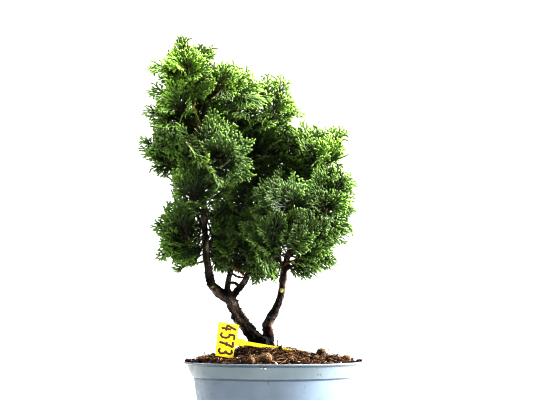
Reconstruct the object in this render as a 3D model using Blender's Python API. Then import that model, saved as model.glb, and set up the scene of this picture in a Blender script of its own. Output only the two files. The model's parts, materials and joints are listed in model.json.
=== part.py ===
"""Hinoki cypress bonsai, two stems from one root, in a round plastic nursery pot.

The origin is the centre of the pot's base, on the surface it stands on. +Z is up,
and the front of the tree faces -Y. All lengths are in metres.
"""

import math
from itertools import permutations

import bmesh
import bpy
import numpy as np
from mathutils import Matrix, Vector
from mathutils.bvhtree import BVHTree

MM = 0.001
GAP = 0.3 * MM  # clearance between two pieces that touch

# Pot: a thin moulded wall with a flared band below the lip, and drain holes in the base
POT_HEIGHT = 118 * MM
POT_RIM_RADIUS = 75 * MM
POT_BASE_RADIUS = 53 * MM
POT_WALL = 1.5 * MM
POT_FLOOR = 2.0 * MM
POT_SIDES = 42
LIP_HEIGHT = 1.8 * MM
LIP_REACH = 2.2 * MM
BAND_HEIGHT = 13 * MM
BAND_TOP_RADIUS = POT_RIM_RADIUS - LIP_REACH
BAND_BOTTOM_RADIUS = 68.4 * MM
BODY_TOP_RADIUS = 66.6 * MM
DRAIN_HOLES = 6
DRAIN_RADIUS = 4 * MM
DRAIN_CIRCLE = 34 * MM

# Soil: fills the pot to just under the lip and mounds up round the root
SOIL_EDGE_Z = POT_HEIGHT - 1.2 * MM
SOIL_MOUND = 13.5 * MM
MOUND_CENTRE = (-8 * MM, -4 * MM)
MOUND_SPREAD = 50 * MM
SOIL_RELIEF = 0.7 * MM
SOIL_RINGS = 7
SOIL_SIDES = 32

# Root stump: the buried foot of the tree, in a plain hole in the soil
STUMP_PLACE = (-9.5 * MM, 1 * MM)
STUMP_SIDES = 14
STUMP_PROFILE_MM = ((6, -34), (10.4, 4), (10.6, 12), (9.2, 16), (6.2, 20))  # radius, height over the rim

# Stems: centreline points (x, y, z) and radius, in millimetres, root to tip
STEMS_MM = {
    "left": (
        (-9, 0, 129, 6.4), (-15, 0, 138, 5.8), (-21.5, -1, 146, 5.3), (-28, -1, 155, 4.9),
        (-33.5, 0, 165, 4.9), (-38, 1, 172.5, 4.8), (-45.5, 1, 175.5, 3.9), (-51, 0, 180, 3.5),
        (-54, 0, 189, 3.5), (-56, -1, 201.5, 3.0), (-57, -2, 216, 2.5), (-58, -2, 233, 2.4),
        (-58.5, -2, 247, 2.3), (-61, 0, 262, 2.2), (-64, 2, 279, 2.1), (-65.5, 4, 296, 2.0),
        (-65, 5, 313, 1.9), (-66.5, 4, 329, 1.7), (-70.5, 2, 344, 1.5),
    ),
    "right": (
        (-6, 1, 129, 5.2), (-3.5, 1, 138, 4.3), (-5.5, 1, 145, 3.9), (-4, 0, 151, 4.1),
        (1, -1, 159.5, 3.3), (5.5, -1, 169.5, 3.0), (7.5, 0, 180, 2.6), (8.5, 1, 193, 2.7),
        (10.5, 2, 201.5, 2.6), (14, 3, 211.5, 2.3), (18.5, 3, 224.5, 2.1), (23.5, 2, 241, 1.9),
        (28.5, 1, 256, 1.7), (33, 0, 268, 1.5),
    ),
    "fork": (
        (-36, 0, 171, 2.6), (-38.5, -1, 182, 1.9), (-36.5, 0, 190, 1.8), (-34.5, 2, 197, 1.6),
    ),
    "middle": (
        (-36, 0, 169, 3.2), (-30, -2, 178, 2.3), (-25.5, -1, 184, 2.1), (-22.5, 1, 190, 2.1),
        (-19.5, 4, 199, 2.0), (-15.5, 8, 216, 1.9), (-14, 12, 241, 1.8), (-16.5, 14, 267, 1.7),
        (-18.5, 13, 288, 1.6), (-14, 11, 304, 1.5),
    ),
}
STEM_STEP = 10 * MM  # spacing of the rings along a stem
STEM_SIDES = 7
BARK_RELIEF = 0.07  # ridges of the bark, as a share of the radius
LIMB_RADIUS = 1.6 * MM
LIMB_END_RADIUS = 1.3 * MM
LIMB_END = 3 * MM  # last stretch of a limb, whose four sides carry the twigs
TWIG_LENGTH = 4.5 * MM
TWIG_RADIUS = 1.0 * MM

# Foliage masses: centre and half-sizes in millimetres, the stem that carries the mass,
# and how many leafy branches it has
MASSES_MM = (
    ("top", (-76, 0, 369), (27, 22, 25), "left", 4),
    ("upper_front", (-37, -8, 350), (26, 22, 20), "left", 3),
    ("upper_right", (2, 5, 333), (21, 22, 26), "middle", 3),
    ("left", (-85, -10, 324), (22, 23, 26), "left", 3),
    ("upper_back", (-52, 20, 329), (21, 20, 24), "left", 2),
    ("left_low", (-94, -4, 291), (20, 20, 18), "left", 2),
    ("front", (-43, -24, 288), (26, 22, 31), "left", 4),
    ("middle_back", (-10, 18, 297), (27, 24, 34), "middle", 3),
    ("left_back", (-72, 26, 295), (25, 22, 30), "left", 3),
    ("waist", (-76, 3, 259), (15, 18, 18), "left", 1),
    ("skirt_left", (-82, -3, 223), (20, 22, 27), "left", 3),
    ("middle", (-30, 14, 247), (22, 22, 21), "middle", 2),
    ("middle_low", (-29, 3, 216), (22, 22, 24), "fork", 3),
    ("hanging", (-4, -15, 205), (14, 15, 20), "middle", 1),
    ("right_front", (5, -20, 247), (26, 24, 27), "right", 3),
    ("right_back", (22, 27, 250), (27, 25, 33), "right", 3),
    ("right_top", (40, 0, 291), (26, 24, 27), "right", 3),
    ("right", (48, -3, 249), (22, 25, 30), "right", 3),
    ("right_low", (32, -3, 212), (22, 22, 18), "right", 2),
)
LIMB_DROP = 0.55  # how far below its mass a limb leaves the stem, as a share of its sideways reach
LIMB_LEAST_DROP = 0.9  # or, on a stem that runs through the mass, this share of the mass's half-height
LIMB_THRIFT = 0.35  # how much a limb would rather be short than leave at that height
LIMB_BEND = (0.62, 0.62, 0.3)  # a limb runs outwards first, then rises: its middle point, as shares
LIMB_STEPS = 17
HUB_INSET = 0.55  # where a limb ends, as a share of the way from its mass's centre to its surface
HUB_LIFT = 0.2  # how far above the mass's centre its branches aim, as a share of its half-height
BRANCH_SPLAY = math.radians(60)
BRANCH_TURN = 1.1  # each mass's branches are turned this much further than the last one's

# Sprays: flat fans of side shoots, set round a green stalk like leaves round a shoot
STALK_LENGTH = 7 * MM
STALK_RADIUS = 0.9 * MM
SPRAY_LENGTH = 46 * MM
SPRAY_HALF_WIDTH = 23 * MM
SPRAY_THICKNESS = 0.9 * MM
SPRAY_RIB = 2.2 * MM
SPRAY_DROOP = 0.14  # arch of a fan, as a share of its length
SIDE_DROOP = 2.5  # a fan's sides hang this much more than its tip
SPRAY_FOOT = 0.2  # bare share of a fan's rib, before its first side shoot
SPRAY_LEAFY = 0.62  # share of the rib that side shoots grow from
NECK_END = 0.32  # the fan may touch its stalk up to here, as a share of its length
SPRAY_LEANS = tuple(math.radians(turn) for turn in (48, 34, 62))  # between a fan and its stalk
SPRAY_SWINGS = tuple(math.radians(turn) for turn in (0, 13, -13, 26, -26, 39, -39))  # to either side
END_LEAN = 0.3  # a fan at the stalk's end leans less by this factor
END_SWING = 4.5  # and swings further
SPRAY_OFFSET = 0.9 * MM  # distance from the stalk's surface to where a fan's own blade begins
SPRAY_NECK = 0.3  # half-width of a fan where it begins, as a share of its rib
SPRAY_SIZES = (1.0, 0.92, 0.84, 0.76, 0.68, 0.6, 0.52, 0.44)
SIDE_SHOOTS = 5
SHOOT_LEAN = 0.8  # how far a side shoot points forwards, as a share of its reach sideways
SHOOT_REACH = (0.32, 0.5)  # a fan's half-width follows a sine wave: where it starts, and how far it runs
SHOOT_LIMIT = 0.97  # no side shoot ends past this share of the fan's length
SPRAY_COUNT = 194  # fans in the whole crown, at most
CROWN_RIDGE = (-25 * MM, 6 * MM, 250 * MM)  # middle of the crown, which the fans turn their faces from
CROWN_REACH = (90 * MM, 45 * MM, 150 * MM)
FACE_SCATTER = 0.7
MASS_MARGIN = 1.18  # fans may stand this much past the mass

# Clay balls on the soil: place and radius, in millimetres
CLAY_BALLS_MM = (
    ("clay_ball_front", (-6, -58), 5.4),
    ("clay_ball_right", (40, -6), 4.6),
    ("clay_ball_edge", (60.5, -10), 4.4),
    ("clay_ball_small", (-18, -63.5), 3.6),
)
BALL_PROUD = 0.4  # share of its radius that a ball's centre lies above the soil

# Plant label: a flat T of sheet plastic, its tip pushed into the mound
LABEL_THICKNESS = 0.9 * MM
LABEL_HEAD = (16 * MM, 28 * MM)
LABEL_NECK = (6.5 * MM, 6 * MM)
LABEL_STAKE_LENGTH = 45 * MM
LABEL_STAKE_WIDTH = 3.6 * MM
LABEL_TIP_WIDTH = 1.6 * MM
LABEL_TIP_LENGTH = 6 * MM
LABEL_PLACE = (-30.5 * MM, -24 * MM, POT_HEIGHT + 17.5 * MM)
LABEL_ROLL = math.radians(9)
LABEL_YAW = math.radians(14)


def clear_scene():
    for thing in list(bpy.data.objects):
        bpy.data.objects.remove(thing)


def material(name, colour, roughness):
    made = bpy.data.materials.new(name)
    made.use_nodes = True
    shader = made.node_tree.nodes["Principled BSDF"]
    shader.inputs["Base Color"].default_value = (*colour, 1)
    shader.inputs["Roughness"].default_value = roughness
    shader.inputs["Metallic"].default_value = 0
    return made


def add_object(name, mesh, finish=None):
    thing = bpy.data.objects.new(name, mesh)
    bpy.context.scene.collection.objects.link(thing)
    if finish is not None:
        thing.data.materials.append(finish)
    return thing


def mesh_of(name, points, faces):
    """A mesh from an array of points and a list of faces, with its faces turned outwards."""
    mesh = bpy.data.meshes.new(name)
    mesh.from_pydata([tuple(p) for p in points], [], [tuple(f) for f in faces])
    work = bmesh.new()
    work.from_mesh(mesh)
    bmesh.ops.recalc_face_normals(work, faces=work.faces)
    work.to_mesh(mesh)
    work.free()
    return mesh


def turned(name, profile, sides):
    """A solid turned about Z from a profile of (radius, height) that starts and ends on the axis."""
    work = bmesh.new()
    corners = [work.verts.new((r, 0, z)) for r, z in profile]
    edges = [work.edges.new(pair) for pair in zip(corners, corners[1:])]
    bmesh.ops.spin(
        work, geom=corners + edges, cent=(0, 0, 0), axis=(0, 0, 1), angle=2 * math.pi,
        steps=sides, use_merge=True, use_duplicate=False,
    )
    bmesh.ops.remove_doubles(work, verts=work.verts, dist=1e-6)
    bmesh.ops.recalc_face_normals(work, faces=work.faces)
    mesh = bpy.data.meshes.new(name)
    work.to_mesh(mesh)
    work.free()
    return mesh


def combine(thing, others, operation):
    """Joins the others to a solid, or cuts them from it, in one Boolean, and removes them."""
    group = bpy.data.collections.new(thing.name + "_others")
    bpy.context.scene.collection.children.link(group)
    for other in others:
        bpy.context.scene.collection.objects.unlink(other)
        group.objects.link(other)
    step = thing.modifiers.new(operation.lower(), "BOOLEAN")
    step.operation = operation
    step.operand_type = "COLLECTION"
    step.collection = group
    graph = bpy.context.evaluated_depsgraph_get()
    graph.update()
    solid = bpy.data.meshes.new_from_object(thing.evaluated_get(graph))
    thing.modifiers.clear()
    thing.data = solid
    for other in others:
        bpy.data.objects.remove(other)
    bpy.data.collections.remove(group)


def smooth(thing, angle=math.radians(40)):
    thing.data.shade_smooth()
    thing.data.set_sharp_from_angle(angle=angle)


def pot_wall_radius(z):
    """Outer radius of the pot's body at a height, below the band."""
    rise = z / (POT_HEIGHT - LIP_HEIGHT - BAND_HEIGHT)
    return POT_BASE_RADIUS + (BODY_TOP_RADIUS - POT_BASE_RADIUS) * rise


def build_pot(finish):
    ledge = POT_HEIGHT - LIP_HEIGHT - BAND_HEIGHT
    under_lip = POT_HEIGHT - LIP_HEIGHT
    foot = 1.5 * MM
    step = 0.8 * MM
    outside = [
        (0, 0),
        (POT_BASE_RADIUS - foot, 0),
        (pot_wall_radius(foot), foot),
        (BODY_TOP_RADIUS, ledge - step),
        (BAND_BOTTOM_RADIUS, ledge),
        (BAND_TOP_RADIUS, under_lip - step),
        (POT_RIM_RADIUS, under_lip),
        (POT_RIM_RADIUS, POT_HEIGHT - 0.5 * MM),
        (POT_RIM_RADIUS - 0.5 * MM, POT_HEIGHT),
    ]
    inside = [
        (BAND_TOP_RADIUS - POT_WALL + 0.5 * MM, POT_HEIGHT),
        (BAND_TOP_RADIUS - POT_WALL, under_lip - step),
        (BAND_BOTTOM_RADIUS - POT_WALL, ledge + step),
        (BODY_TOP_RADIUS - POT_WALL, ledge - 2 * step),
        (pot_wall_radius(POT_FLOOR) - POT_WALL, POT_FLOOR),
        (0, POT_FLOOR),
    ]
    pot = add_object("pot", turned("pot", outside + inside, POT_SIDES), finish)
    drills = [drain_drill(2 * math.pi * (k + 0.5) / DRAIN_HOLES) for k in range(DRAIN_HOLES)]
    combine(pot, drills, "DIFFERENCE")
    smooth(pot)


def drain_drill(angle):
    work = bmesh.new()
    place = (DRAIN_CIRCLE * math.cos(angle), DRAIN_CIRCLE * math.sin(angle), 0)
    bmesh.ops.create_cone(
        work, cap_ends=True, segments=10, radius1=DRAIN_RADIUS, radius2=DRAIN_RADIUS,
        depth=4 * POT_FLOOR, matrix=Matrix.Translation(place),
    )
    mesh = bpy.data.meshes.new("drill")
    work.to_mesh(mesh)
    work.free()
    return add_object("drill", mesh)


def soil_height(x, y):
    """Height of the soil: level at the wall, mounded round the root, uneven by sums of waves."""
    away = np.hypot(x - MOUND_CENTRE[0], y - MOUND_CENTRE[1])
    mound = SOIL_MOUND * np.exp(-((away / MOUND_SPREAD) ** 2))
    wave = np.sin(x / (5.1 * MM) + 1.3) * np.sin(y / (4.3 * MM) + 0.4)
    wave = wave + 0.6 * np.sin(x / (2.9 * MM) - y / (3.7 * MM))
    edge = np.clip(6 * (1 - np.hypot(x, y) / POT_RIM_RADIUS), 0, 1)
    return SOIL_EDGE_Z + (mound + SOIL_RELIEF * wave) * edge


def build_soil(finish, cutters):
    """A plug that follows the pot's inside, closed below and uneven on top."""
    angles = 2 * np.pi * np.arange(SOIL_SIDES) / SOIL_SIDES
    ledge = POT_HEIGHT - LIP_HEIGHT - BAND_HEIGHT
    rise = (SOIL_EDGE_Z - ledge) / BAND_HEIGHT
    rim = BODY_TOP_RADIUS + (BAND_TOP_RADIUS - BODY_TOP_RADIUS) * rise - POT_WALL - 3 * GAP
    points, rings = [], []
    for k in range(1, SOIL_RINGS + 1):
        radius = rim * (k / SOIL_RINGS) ** 0.8
        x, y = radius * np.cos(angles), radius * np.sin(angles)
        rings.append(range(len(points), len(points) + SOIL_SIDES))
        points += list(zip(x, y, soil_height(x, y)))
    for z in (ledge - 3 * MM, POT_FLOOR + GAP):
        radius = pot_wall_radius(z) - POT_WALL - 2 * GAP
        rings.append(range(len(points), len(points) + SOIL_SIDES))
        points += [(radius * math.cos(a), radius * math.sin(a), z) for a in angles]
    faces = [list(rings[-1])]
    for low, high in zip(rings, rings[1:]):
        for i in range(SOIL_SIDES):
            j = (i + 1) % SOIL_SIDES
            faces.append((low[i], low[j], high[j], high[i]))
    centre = len(points)
    points.append((0, 0, float(soil_height(np.zeros(1), np.zeros(1))[0])))
    faces += [(centre, rings[0][i], rings[0][(i + 1) % SOIL_SIDES]) for i in range(SOIL_SIDES)]
    soil = add_object("soil", mesh_of("soil", points, faces), finish)
    combine(soil, cutters, "DIFFERENCE")


def stump_profile(grow):
    rows = [(radius * MM + grow, POT_HEIGHT + height * MM) for radius, height in STUMP_PROFILE_MM]
    return [(0, rows[0][1] - grow), (rows[0][0], rows[0][1] - grow), *rows[1:]]


def stump_cutter():
    """The hole that the root stands in: the stump's own shape, a clearance larger, and open above."""
    hole = stump_profile(1.5 * GAP)[:4]
    hole += [(hole[-1][0], POT_HEIGHT + 30 * MM), (0, POT_HEIGHT + 30 * MM)]
    cutter = add_object("root_hole", turned("root_hole", hole, STUMP_SIDES))
    cutter.data.transform(Matrix.Translation((*STUMP_PLACE, 0)))
    return cutter


class Growth:
    """Points and faces of one closed body, which grows ring by ring out of its own faces."""

    def __init__(self):
        self.points, self.faces = [], []

    def add_points(self, points):
        first = len(self.points)
        self.points += [tuple(point) for point in points]
        return list(range(first, len(self.points)))

    def tube(self, rings):
        """A closed tube through the rings. Returns its side faces, stretch by stretch, and its end."""
        rings = [self.add_points(ring) for ring in rings]
        sides = len(rings[0])
        stretches = []
        for low, high in zip(rings, rings[1:]):
            stretches.append([(low[i - 1], low[i], high[i], high[i - 1]) for i in range(sides)])
        end = tuple(rings[-1])
        self.faces += [tuple(rings[0][::-1]), end]
        for stretch in stretches:
            self.faces += stretch
        return stretches, end

    def normal(self, ring):
        """The way a ring of four points faces."""
        a, b, c, d = (np.array(self.points[i]) for i in ring)
        way = np.cross(c - a, d - b)
        return way / np.linalg.norm(way)

    def join(self, face, ring):
        """Opens a four-sided face and leads its edges to another ring of four points."""
        self.faces.remove(face)
        here = np.array([self.points[i] for i in face])
        there = np.array([self.points[i] for i in ring])
        if self.normal(ring) @ (there - here).sum(0) < 0:
            ring, there = ring[::-1], there[::-1]
        turn = min(range(4), key=lambda k: np.linalg.norm(here - np.roll(there, k, axis=0), axis=1).sum())
        ring = list(np.roll(ring, turn))
        self.faces += [(face[i], face[(i + 1) % 4], ring[(i + 1) % 4], ring[i]) for i in range(4)]


def rings_along(points, radii, sides, relief=0.0):
    """Rings of points round a path. Relief swells and pinches them in ridges that run along it."""
    tangents = np.gradient(points, axis=0)
    tangents /= np.linalg.norm(tangents, axis=1)[:, None]
    across = np.empty_like(tangents)
    side = np.cross(tangents[0], (0.3, 1, 0.2))
    for k, tangent in enumerate(tangents):
        side = side - tangent * (side @ tangent)
        side = side / np.linalg.norm(side)
        across[k] = side
    up = np.cross(tangents, across)
    angles = 2 * np.pi * np.arange(sides) / sides
    ring = np.arange(len(points))[:, None]
    swell = 1 + relief * (np.sin(3 * angles + 0.7 * ring) + 0.6 * np.sin(2 * angles - 1.9 * ring))
    spokes = across[:, None] * np.cos(angles)[:, None] + up[:, None] * np.sin(angles)[:, None]
    return points[:, None] + (radii[:, None] * swell)[:, :, None] * spokes


def at_marks(curve, sizes, marks):
    """A path and its radii read off at distances along it."""
    run = np.append(0, np.cumsum(np.linalg.norm(np.diff(curve, axis=0), axis=1)))
    marks = marks(run[-1])
    even = np.column_stack([np.interp(marks, run, curve[:, axis]) for axis in range(3)])
    return even, np.interp(marks, run, sizes)


def stem_path(rows_mm):
    """A smooth curve through a stem's points (Catmull-Rom), read off at even steps."""
    rows = np.array(rows_mm, float) * MM
    points, radii = rows[:, :3], rows[:, 3]
    padded = np.vstack([2 * points[0] - points[1], points, 2 * points[-1] - points[-2]])
    share = np.linspace(0, 1, 8, endpoint=False)[:, None]
    curve, sizes = [], []
    for k in range(len(points) - 1):
        a, b, c, d = padded[k : k + 4]
        square = 2 * a - 5 * b + 4 * c - d
        cube = 3 * b - a - 3 * c + d
        curve.append(0.5 * (2 * b + (c - a) * share + square * share**2 + cube * share**3))
        sizes.append(radii[k] + (radii[k + 1] - radii[k]) * share[:, 0])
    curve = np.vstack([*curve, points[-1:]])
    sizes = np.append(np.concatenate(sizes), radii[-1])
    return at_marks(curve, sizes, lambda length: np.linspace(0, length, round(length / STEM_STEP) + 1))


def limb_path(stem, centre, half):
    """A limb's curve: it leaves its stem below its mass, runs outwards and rises into it."""
    points, radii = stem
    reach = np.linalg.norm(points[:, :2] - centre[:2], axis=1)
    drop = np.maximum(LIMB_DROP * reach, LIMB_LEAST_DROP * half[2] * (reach < half[0]))
    start = np.argmin(np.abs(points[:, 2] - (centre[2] - drop)) + LIMB_THRIFT * reach)
    first = points[start]
    back = (first - centre) / half
    last = centre + HUB_INSET * half * back / np.linalg.norm(back)
    bend = first + (last - first) * LIMB_BEND
    share = np.linspace(0, 1, LIMB_STEPS)[:, None]
    curve = (1 - share) ** 2 * first + 2 * share * (1 - share) * bend + share**2 * last
    sizes = np.linspace(min(LIMB_RADIUS, 0.75 * radii[start]), LIMB_END_RADIUS, LIMB_STEPS)
    return at_marks(
        curve, sizes, lambda length: np.array([0, 0.5 * (length - LIMB_END), length - LIMB_END, length])
    )


def splayed(axis, count, turn):
    """Directions splayed evenly round an axis; the fourth, or a lone one, runs along it."""
    side = np.cross(axis, (0.2, 1, 0.1))
    side /= np.linalg.norm(side)
    other = np.cross(axis, side)
    ring = min(count, 3) if count > 1 else 0
    ways = []
    for k in range(ring):
        angle = turn + 2 * math.pi * k / ring
        flat = math.cos(angle) * side + math.sin(angle) * other
        ways.append(math.cos(BRANCH_SPLAY) * axis + math.sin(BRANCH_SPLAY) * flat)
    return ways + [axis] * (count - ring)


def place_branches(paths):
    """Every limb, with the leafy branches it ends in: direction, twig's end and stalk."""
    limbs, branches = [], []
    for m, (name, centre, half, stem, count) in enumerate(MASSES_MM):
        centre, half = np.array(centre) * MM, np.array(half) * MM
        path, radii = limb_path(paths[stem], centre, half)
        hub = path[-1] - 0.5 * LIMB_END * (path[-1] - path[-2]) / np.linalg.norm(path[-1] - path[-2])
        axis = centre - hub + (0, 0, HUB_LIFT * half[2])
        axis /= np.linalg.norm(axis)
        limb = {"path": path, "radii": radii, "branches": []}
        for k, way in enumerate(splayed(axis, count, BRANCH_TURN * m)):
            aim = centre + half * way - hub
            out = aim / np.linalg.norm(aim)
            foot = hub + (LIMB_END_RADIUS + TWIG_LENGTH) * out
            branch = {"name": f"{name}_{k + 1}", "hub": hub, "out": out, "twig_end": foot,
                      "stalk": (foot + GAP * out, foot + STALK_LENGTH * out), "fans": []}
            limb["branches"].append(branch)
            branches.append(branch)
        limbs.append(limb)
    return limbs, branches


def limb_growth(limb):
    """A limb and its twigs, which grow out of its end and the sides of its last stretch."""
    growth = Growth()
    stretches, end = growth.tube(rings_along(limb["path"], limb["radii"], 4))
    branches = limb["branches"]
    carriers = max(
        permutations(stretches[-1] + [end], len(branches)),
        key=lambda faces: sum(growth.normal(face) @ branch["out"] for face, branch in zip(faces, branches)),
    )
    for carrier, branch in zip(carriers, branches):
        path = np.array([branch["hub"], branch["twig_end"]])
        ring = growth.add_points(rings_along(path, np.full(2, TWIG_RADIUS), 4)[-1])
        growth.faces.append(tuple(ring))
        growth.join(carrier, ring)
    return growth


def stalk_growth(branch):
    """A branch's green stalk, with the faces that fans may grow from: its end, then its sides in turn."""
    growth = Growth()
    foot, tip = branch["stalk"]
    path = np.array([foot, 0.5 * (foot + tip), tip])
    stretches, end = growth.tube(rings_along(path, np.array([1.0, 0.9, 0.75]) * STALK_RADIUS, 4))
    return growth, [end] + [stretches[k][(side + k) % 4] for side in (0, 2, 1, 3) for k in (0, 1)]


def spray_outline():
    """One fan in its own plane, length 1 along u: points (u, v) and triangles.

    A zigzag rib carries pointed side shoots, left and right in turn, and one at the end.
    """
    rib = SPRAY_RIB / SPRAY_LENGTH
    width = SPRAY_HALF_WIDTH / SPRAY_LENGTH
    points = [(0.0, -SPRAY_NECK * rib), (0.0, SPRAY_NECK * rib)]
    for k in range(SIDE_SHOOTS + 2):
        side = 1 if k % 2 else -1
        points.append((SPRAY_FOOT + SPRAY_LEAFY * k / (SIDE_SHOOTS + 1), side * rib / 2))
    faces = [(k, k + 1, k + 2) for k in range(SIDE_SHOOTS + 2)]
    for k in range(SIDE_SHOOTS):
        side = 1 if k % 2 else -1
        out = width * math.sin(math.pi * (SHOOT_REACH[0] + SHOOT_REACH[1] * (k + 1) / SIDE_SHOOTS))
        faces.append((k + 2, k + 4, len(points)))
        points.append((min(SHOOT_LIMIT, points[k + 4][0] + SHOOT_LEAN * out), side * out))
    faces.append((SIDE_SHOOTS + 2, SIDE_SHOOTS + 3, len(points)))
    points.append((1.0, 0.0))
    return np.array(points), faces


def blade_faces(count, faces):
    """Faces of a blade: both sides split into the same triangles, and a wall round all but its foot."""
    edges = {}
    for face in faces:
        for pair in zip(face, (*face[1:], face[0])):
            edges.setdefault(frozenset(pair), []).append(pair)
    rim = [uses[0] for edge, uses in edges.items() if len(uses) == 1 and edge != {0, 1}]
    bottom = [tuple(count + i for i in face) for face in faces]
    walls = [(b, a, a + count) for a, b in rim] + [(b, a + count, b + count) for a, b in rim]
    return list(faces) + bottom + walls


OUTLINE, OUTLINE_FACES = spray_outline()
FAN_FACES = blade_faces(len(OUTLINE), OUTLINE_FACES)
FAN_REACH = [OUTLINE[np.array(face) % len(OUTLINE), 0].max() for face in FAN_FACES]
FAN_NECK = {k for k, reach in enumerate(FAN_REACH) if reach < NECK_END}


def fan_points(root, along, normal, size, grow=0.0):
    """Both sides of one arched fan, which droops towards its tip and its sides, grown all round."""
    across = np.cross(normal, along)
    length = SPRAY_LENGTH * size
    longer = length + 4 * grow
    u = 0.5 * length + (OUTLINE[:, 0] - 0.5) * longer
    v = OUTLINE[:, 1] * longer + grow * np.sign(OUTLINE[:, 1])
    droop = SPRAY_DROOP * (u**2 + SIDE_DROOP * v**2) / length
    middle = root + u[:, None] * along + v[:, None] * across - droop[:, None] * normal
    half = (0.5 * SPRAY_THICKNESS + grow) * normal
    return np.vstack([middle + half, middle - half])


def inside_masses(points):
    """True where all the points lie within the foliage masses."""
    found = np.zeros(len(points), bool)
    for _, centre, half, _, _ in MASSES_MM:
        away = (points - np.array(centre) * MM) / (np.array(half) * MM * MASS_MARGIN)
        found |= (away**2).sum(1) <= 1
    return found.all()


class Placed:
    """Everything placed so far, as one tree of faces. A stalk's faces are kept with their owner."""

    def __init__(self):
        self.points, self.faces, self.owners = [], [], []
        self.tree = None

    def add(self, points, faces, owner=None):
        first = len(self.points)
        self.points += [tuple(point) for point in points]
        self.faces += [tuple(first + i for i in face) for face in faces]
        self.owners += [owner] * len(faces)
        self.tree = None

    def clear_of(self, points, faces, owner=None, neck=()):
        """True if these faces meet nothing, apart from their own stalk at the neck."""
        if self.tree is None:
            self.tree = BVHTree.FromPolygons(self.points, self.faces)
        tree = BVHTree.FromPolygons([tuple(point) for point in points], faces)
        return all(here in neck and self.owners[there] == owner for here, there in tree.overlap(self.tree))


def fan_ways(branch, slot, rng):
    """The ways a fan may grow from one face of its stalk: root, direction and the way it faces."""
    growth, faces = branch["growth"], branch["faces"]
    middle = np.mean([growth.points[i] for i in faces[slot]], axis=0)
    flat = growth.normal(faces[slot] if slot else faces[1])
    flat -= branch["out"] * (flat @ branch["out"])
    flat /= np.linalg.norm(flat)
    beside = np.cross(branch["out"], flat)
    for lean in SPRAY_LEANS:
        for swing in SPRAY_SWINGS:
            tilt, turn = (lean, swing) if slot else (END_LEAN * lean, END_SWING * swing)
            side = math.cos(turn) * flat + math.sin(turn) * beside
            along = math.cos(tilt) * branch["out"] + math.sin(tilt) * side
            away = (middle - CROWN_RIDGE) / CROWN_REACH
            face = away / np.linalg.norm(away) + (0, 0, 0.3) + rng.uniform(-FACE_SCATTER, FACE_SCATTER, 3)
            normal = face - along * (face @ along)
            yield middle + SPRAY_OFFSET * along, along, normal / np.linalg.norm(normal)


def grow_fans(branches, placed):
    """Gives the branches their fans in turns, each as large as the mass and what is placed allow."""
    rng = np.random.default_rng(7)
    turns = [(slot, owner) for slot in range(len(branches[0]["faces"])) for owner in range(len(branches))]
    count = 0
    for slot, owner in turns:
        if count == SPRAY_COUNT:
            break
        ways = list(fan_ways(branches[owner], slot, rng))
        fits = (
            (size, way) for size in SPRAY_SIZES for way in ways
            if inside_masses(fan_points(*way, size))
            and placed.clear_of(fan_points(*way, size, GAP), FAN_FACES, owner, FAN_NECK)
            and placed.clear_of(fan_points(*way, size), FAN_FACES)
        )
        size, way = next(fits, (None, None))
        if way is not None:
            points = fan_points(*way, size)
            branches[owner]["fans"].append((slot, points))
            placed.add(points, FAN_FACES)
            count += 1


def grow_crown():
    """All the wood as growths, and the leafy branches with their fans."""
    paths = {name: stem_path(rows) for name, rows in STEMS_MM.items()}
    limbs, branches = place_branches(paths)
    wood = []
    for path, radii in paths.values():
        stem = Growth()
        stem.tube(rings_along(path, radii, STEM_SIDES, BARK_RELIEF))
        wood.append(stem)
    wood += [limb_growth(limb) for limb in limbs]
    placed = Placed()
    for growth in wood:
        placed.add(growth.points, growth.faces)
    for owner, branch in enumerate(branches):
        branch["growth"], branch["faces"] = stalk_growth(branch)
        placed.add(branch["growth"].points, branch["growth"].faces, owner)
    grow_fans(branches, placed)
    return wood, branches


def build_wood(wood, finish):
    """Root stump, stems, limbs and twigs, grown as one piece."""
    profile = stump_profile(0.0)
    profile.append((0, profile[-1][1] + 1.5 * MM))
    stump = add_object("trunk_and_branches", turned("stump", profile, STUMP_SIDES), finish)
    stump.data.transform(Matrix.Translation((*STUMP_PLACE, 0)))
    pieces = [add_object("wood", mesh_of("wood", growth.points, growth.faces)) for growth in wood]
    combine(stump, pieces, "UNION")
    smooth(stump)


def build_foliage(branch, finish):
    """One leafy branch: a green stalk, and the fans that grow out of its end and its sides."""
    growth = branch["growth"]
    count = len(OUTLINE)
    for slot, points in branch["fans"]:
        first = growth.add_points(points)[0]
        growth.faces += [tuple(first + i for i in face) for face in FAN_FACES]
        growth.join(branch["faces"][slot], [first, first + 1, first + count + 1, first + count])
    add_object("foliage_" + branch["name"], mesh_of("foliage", growth.points, growth.faces), finish)


def clay_ball(name, place, radius, grow, turn):
    """A baked clay ball, a little uneven, grown all round by a clearance."""
    work = bmesh.new()
    bmesh.ops.create_icosphere(work, subdivisions=2, radius=1)
    for corner in work.verts:
        way = corner.co.normalized()
        lumps = 0.05 * math.sin(5 * way.x + 3 * way.z + 2 * turn) + 0.04 * math.sin(7 * way.y + turn)
        corner.co = Vector(place) + way * (radius * (1 + lumps) + grow)
    mesh = bpy.data.meshes.new(name)
    work.to_mesh(mesh)
    work.free()
    return add_object(name, mesh)


def build_balls(finish):
    """The clay balls, and the cutters for their hollows in the soil."""
    cutters = []
    for k, (name, (x, y), radius) in enumerate(CLAY_BALLS_MM):
        x, y, radius = x * MM, y * MM, radius * MM
        place = (x, y, float(soil_height(x, y)) + BALL_PROUD * radius)
        ball = clay_ball(name, place, radius, 0.0, k)
        ball.data.materials.append(finish)
        smooth(ball)
        cutters.append(clay_ball(name + "_hollow", place, radius, GAP, k))
    return cutters


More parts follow.
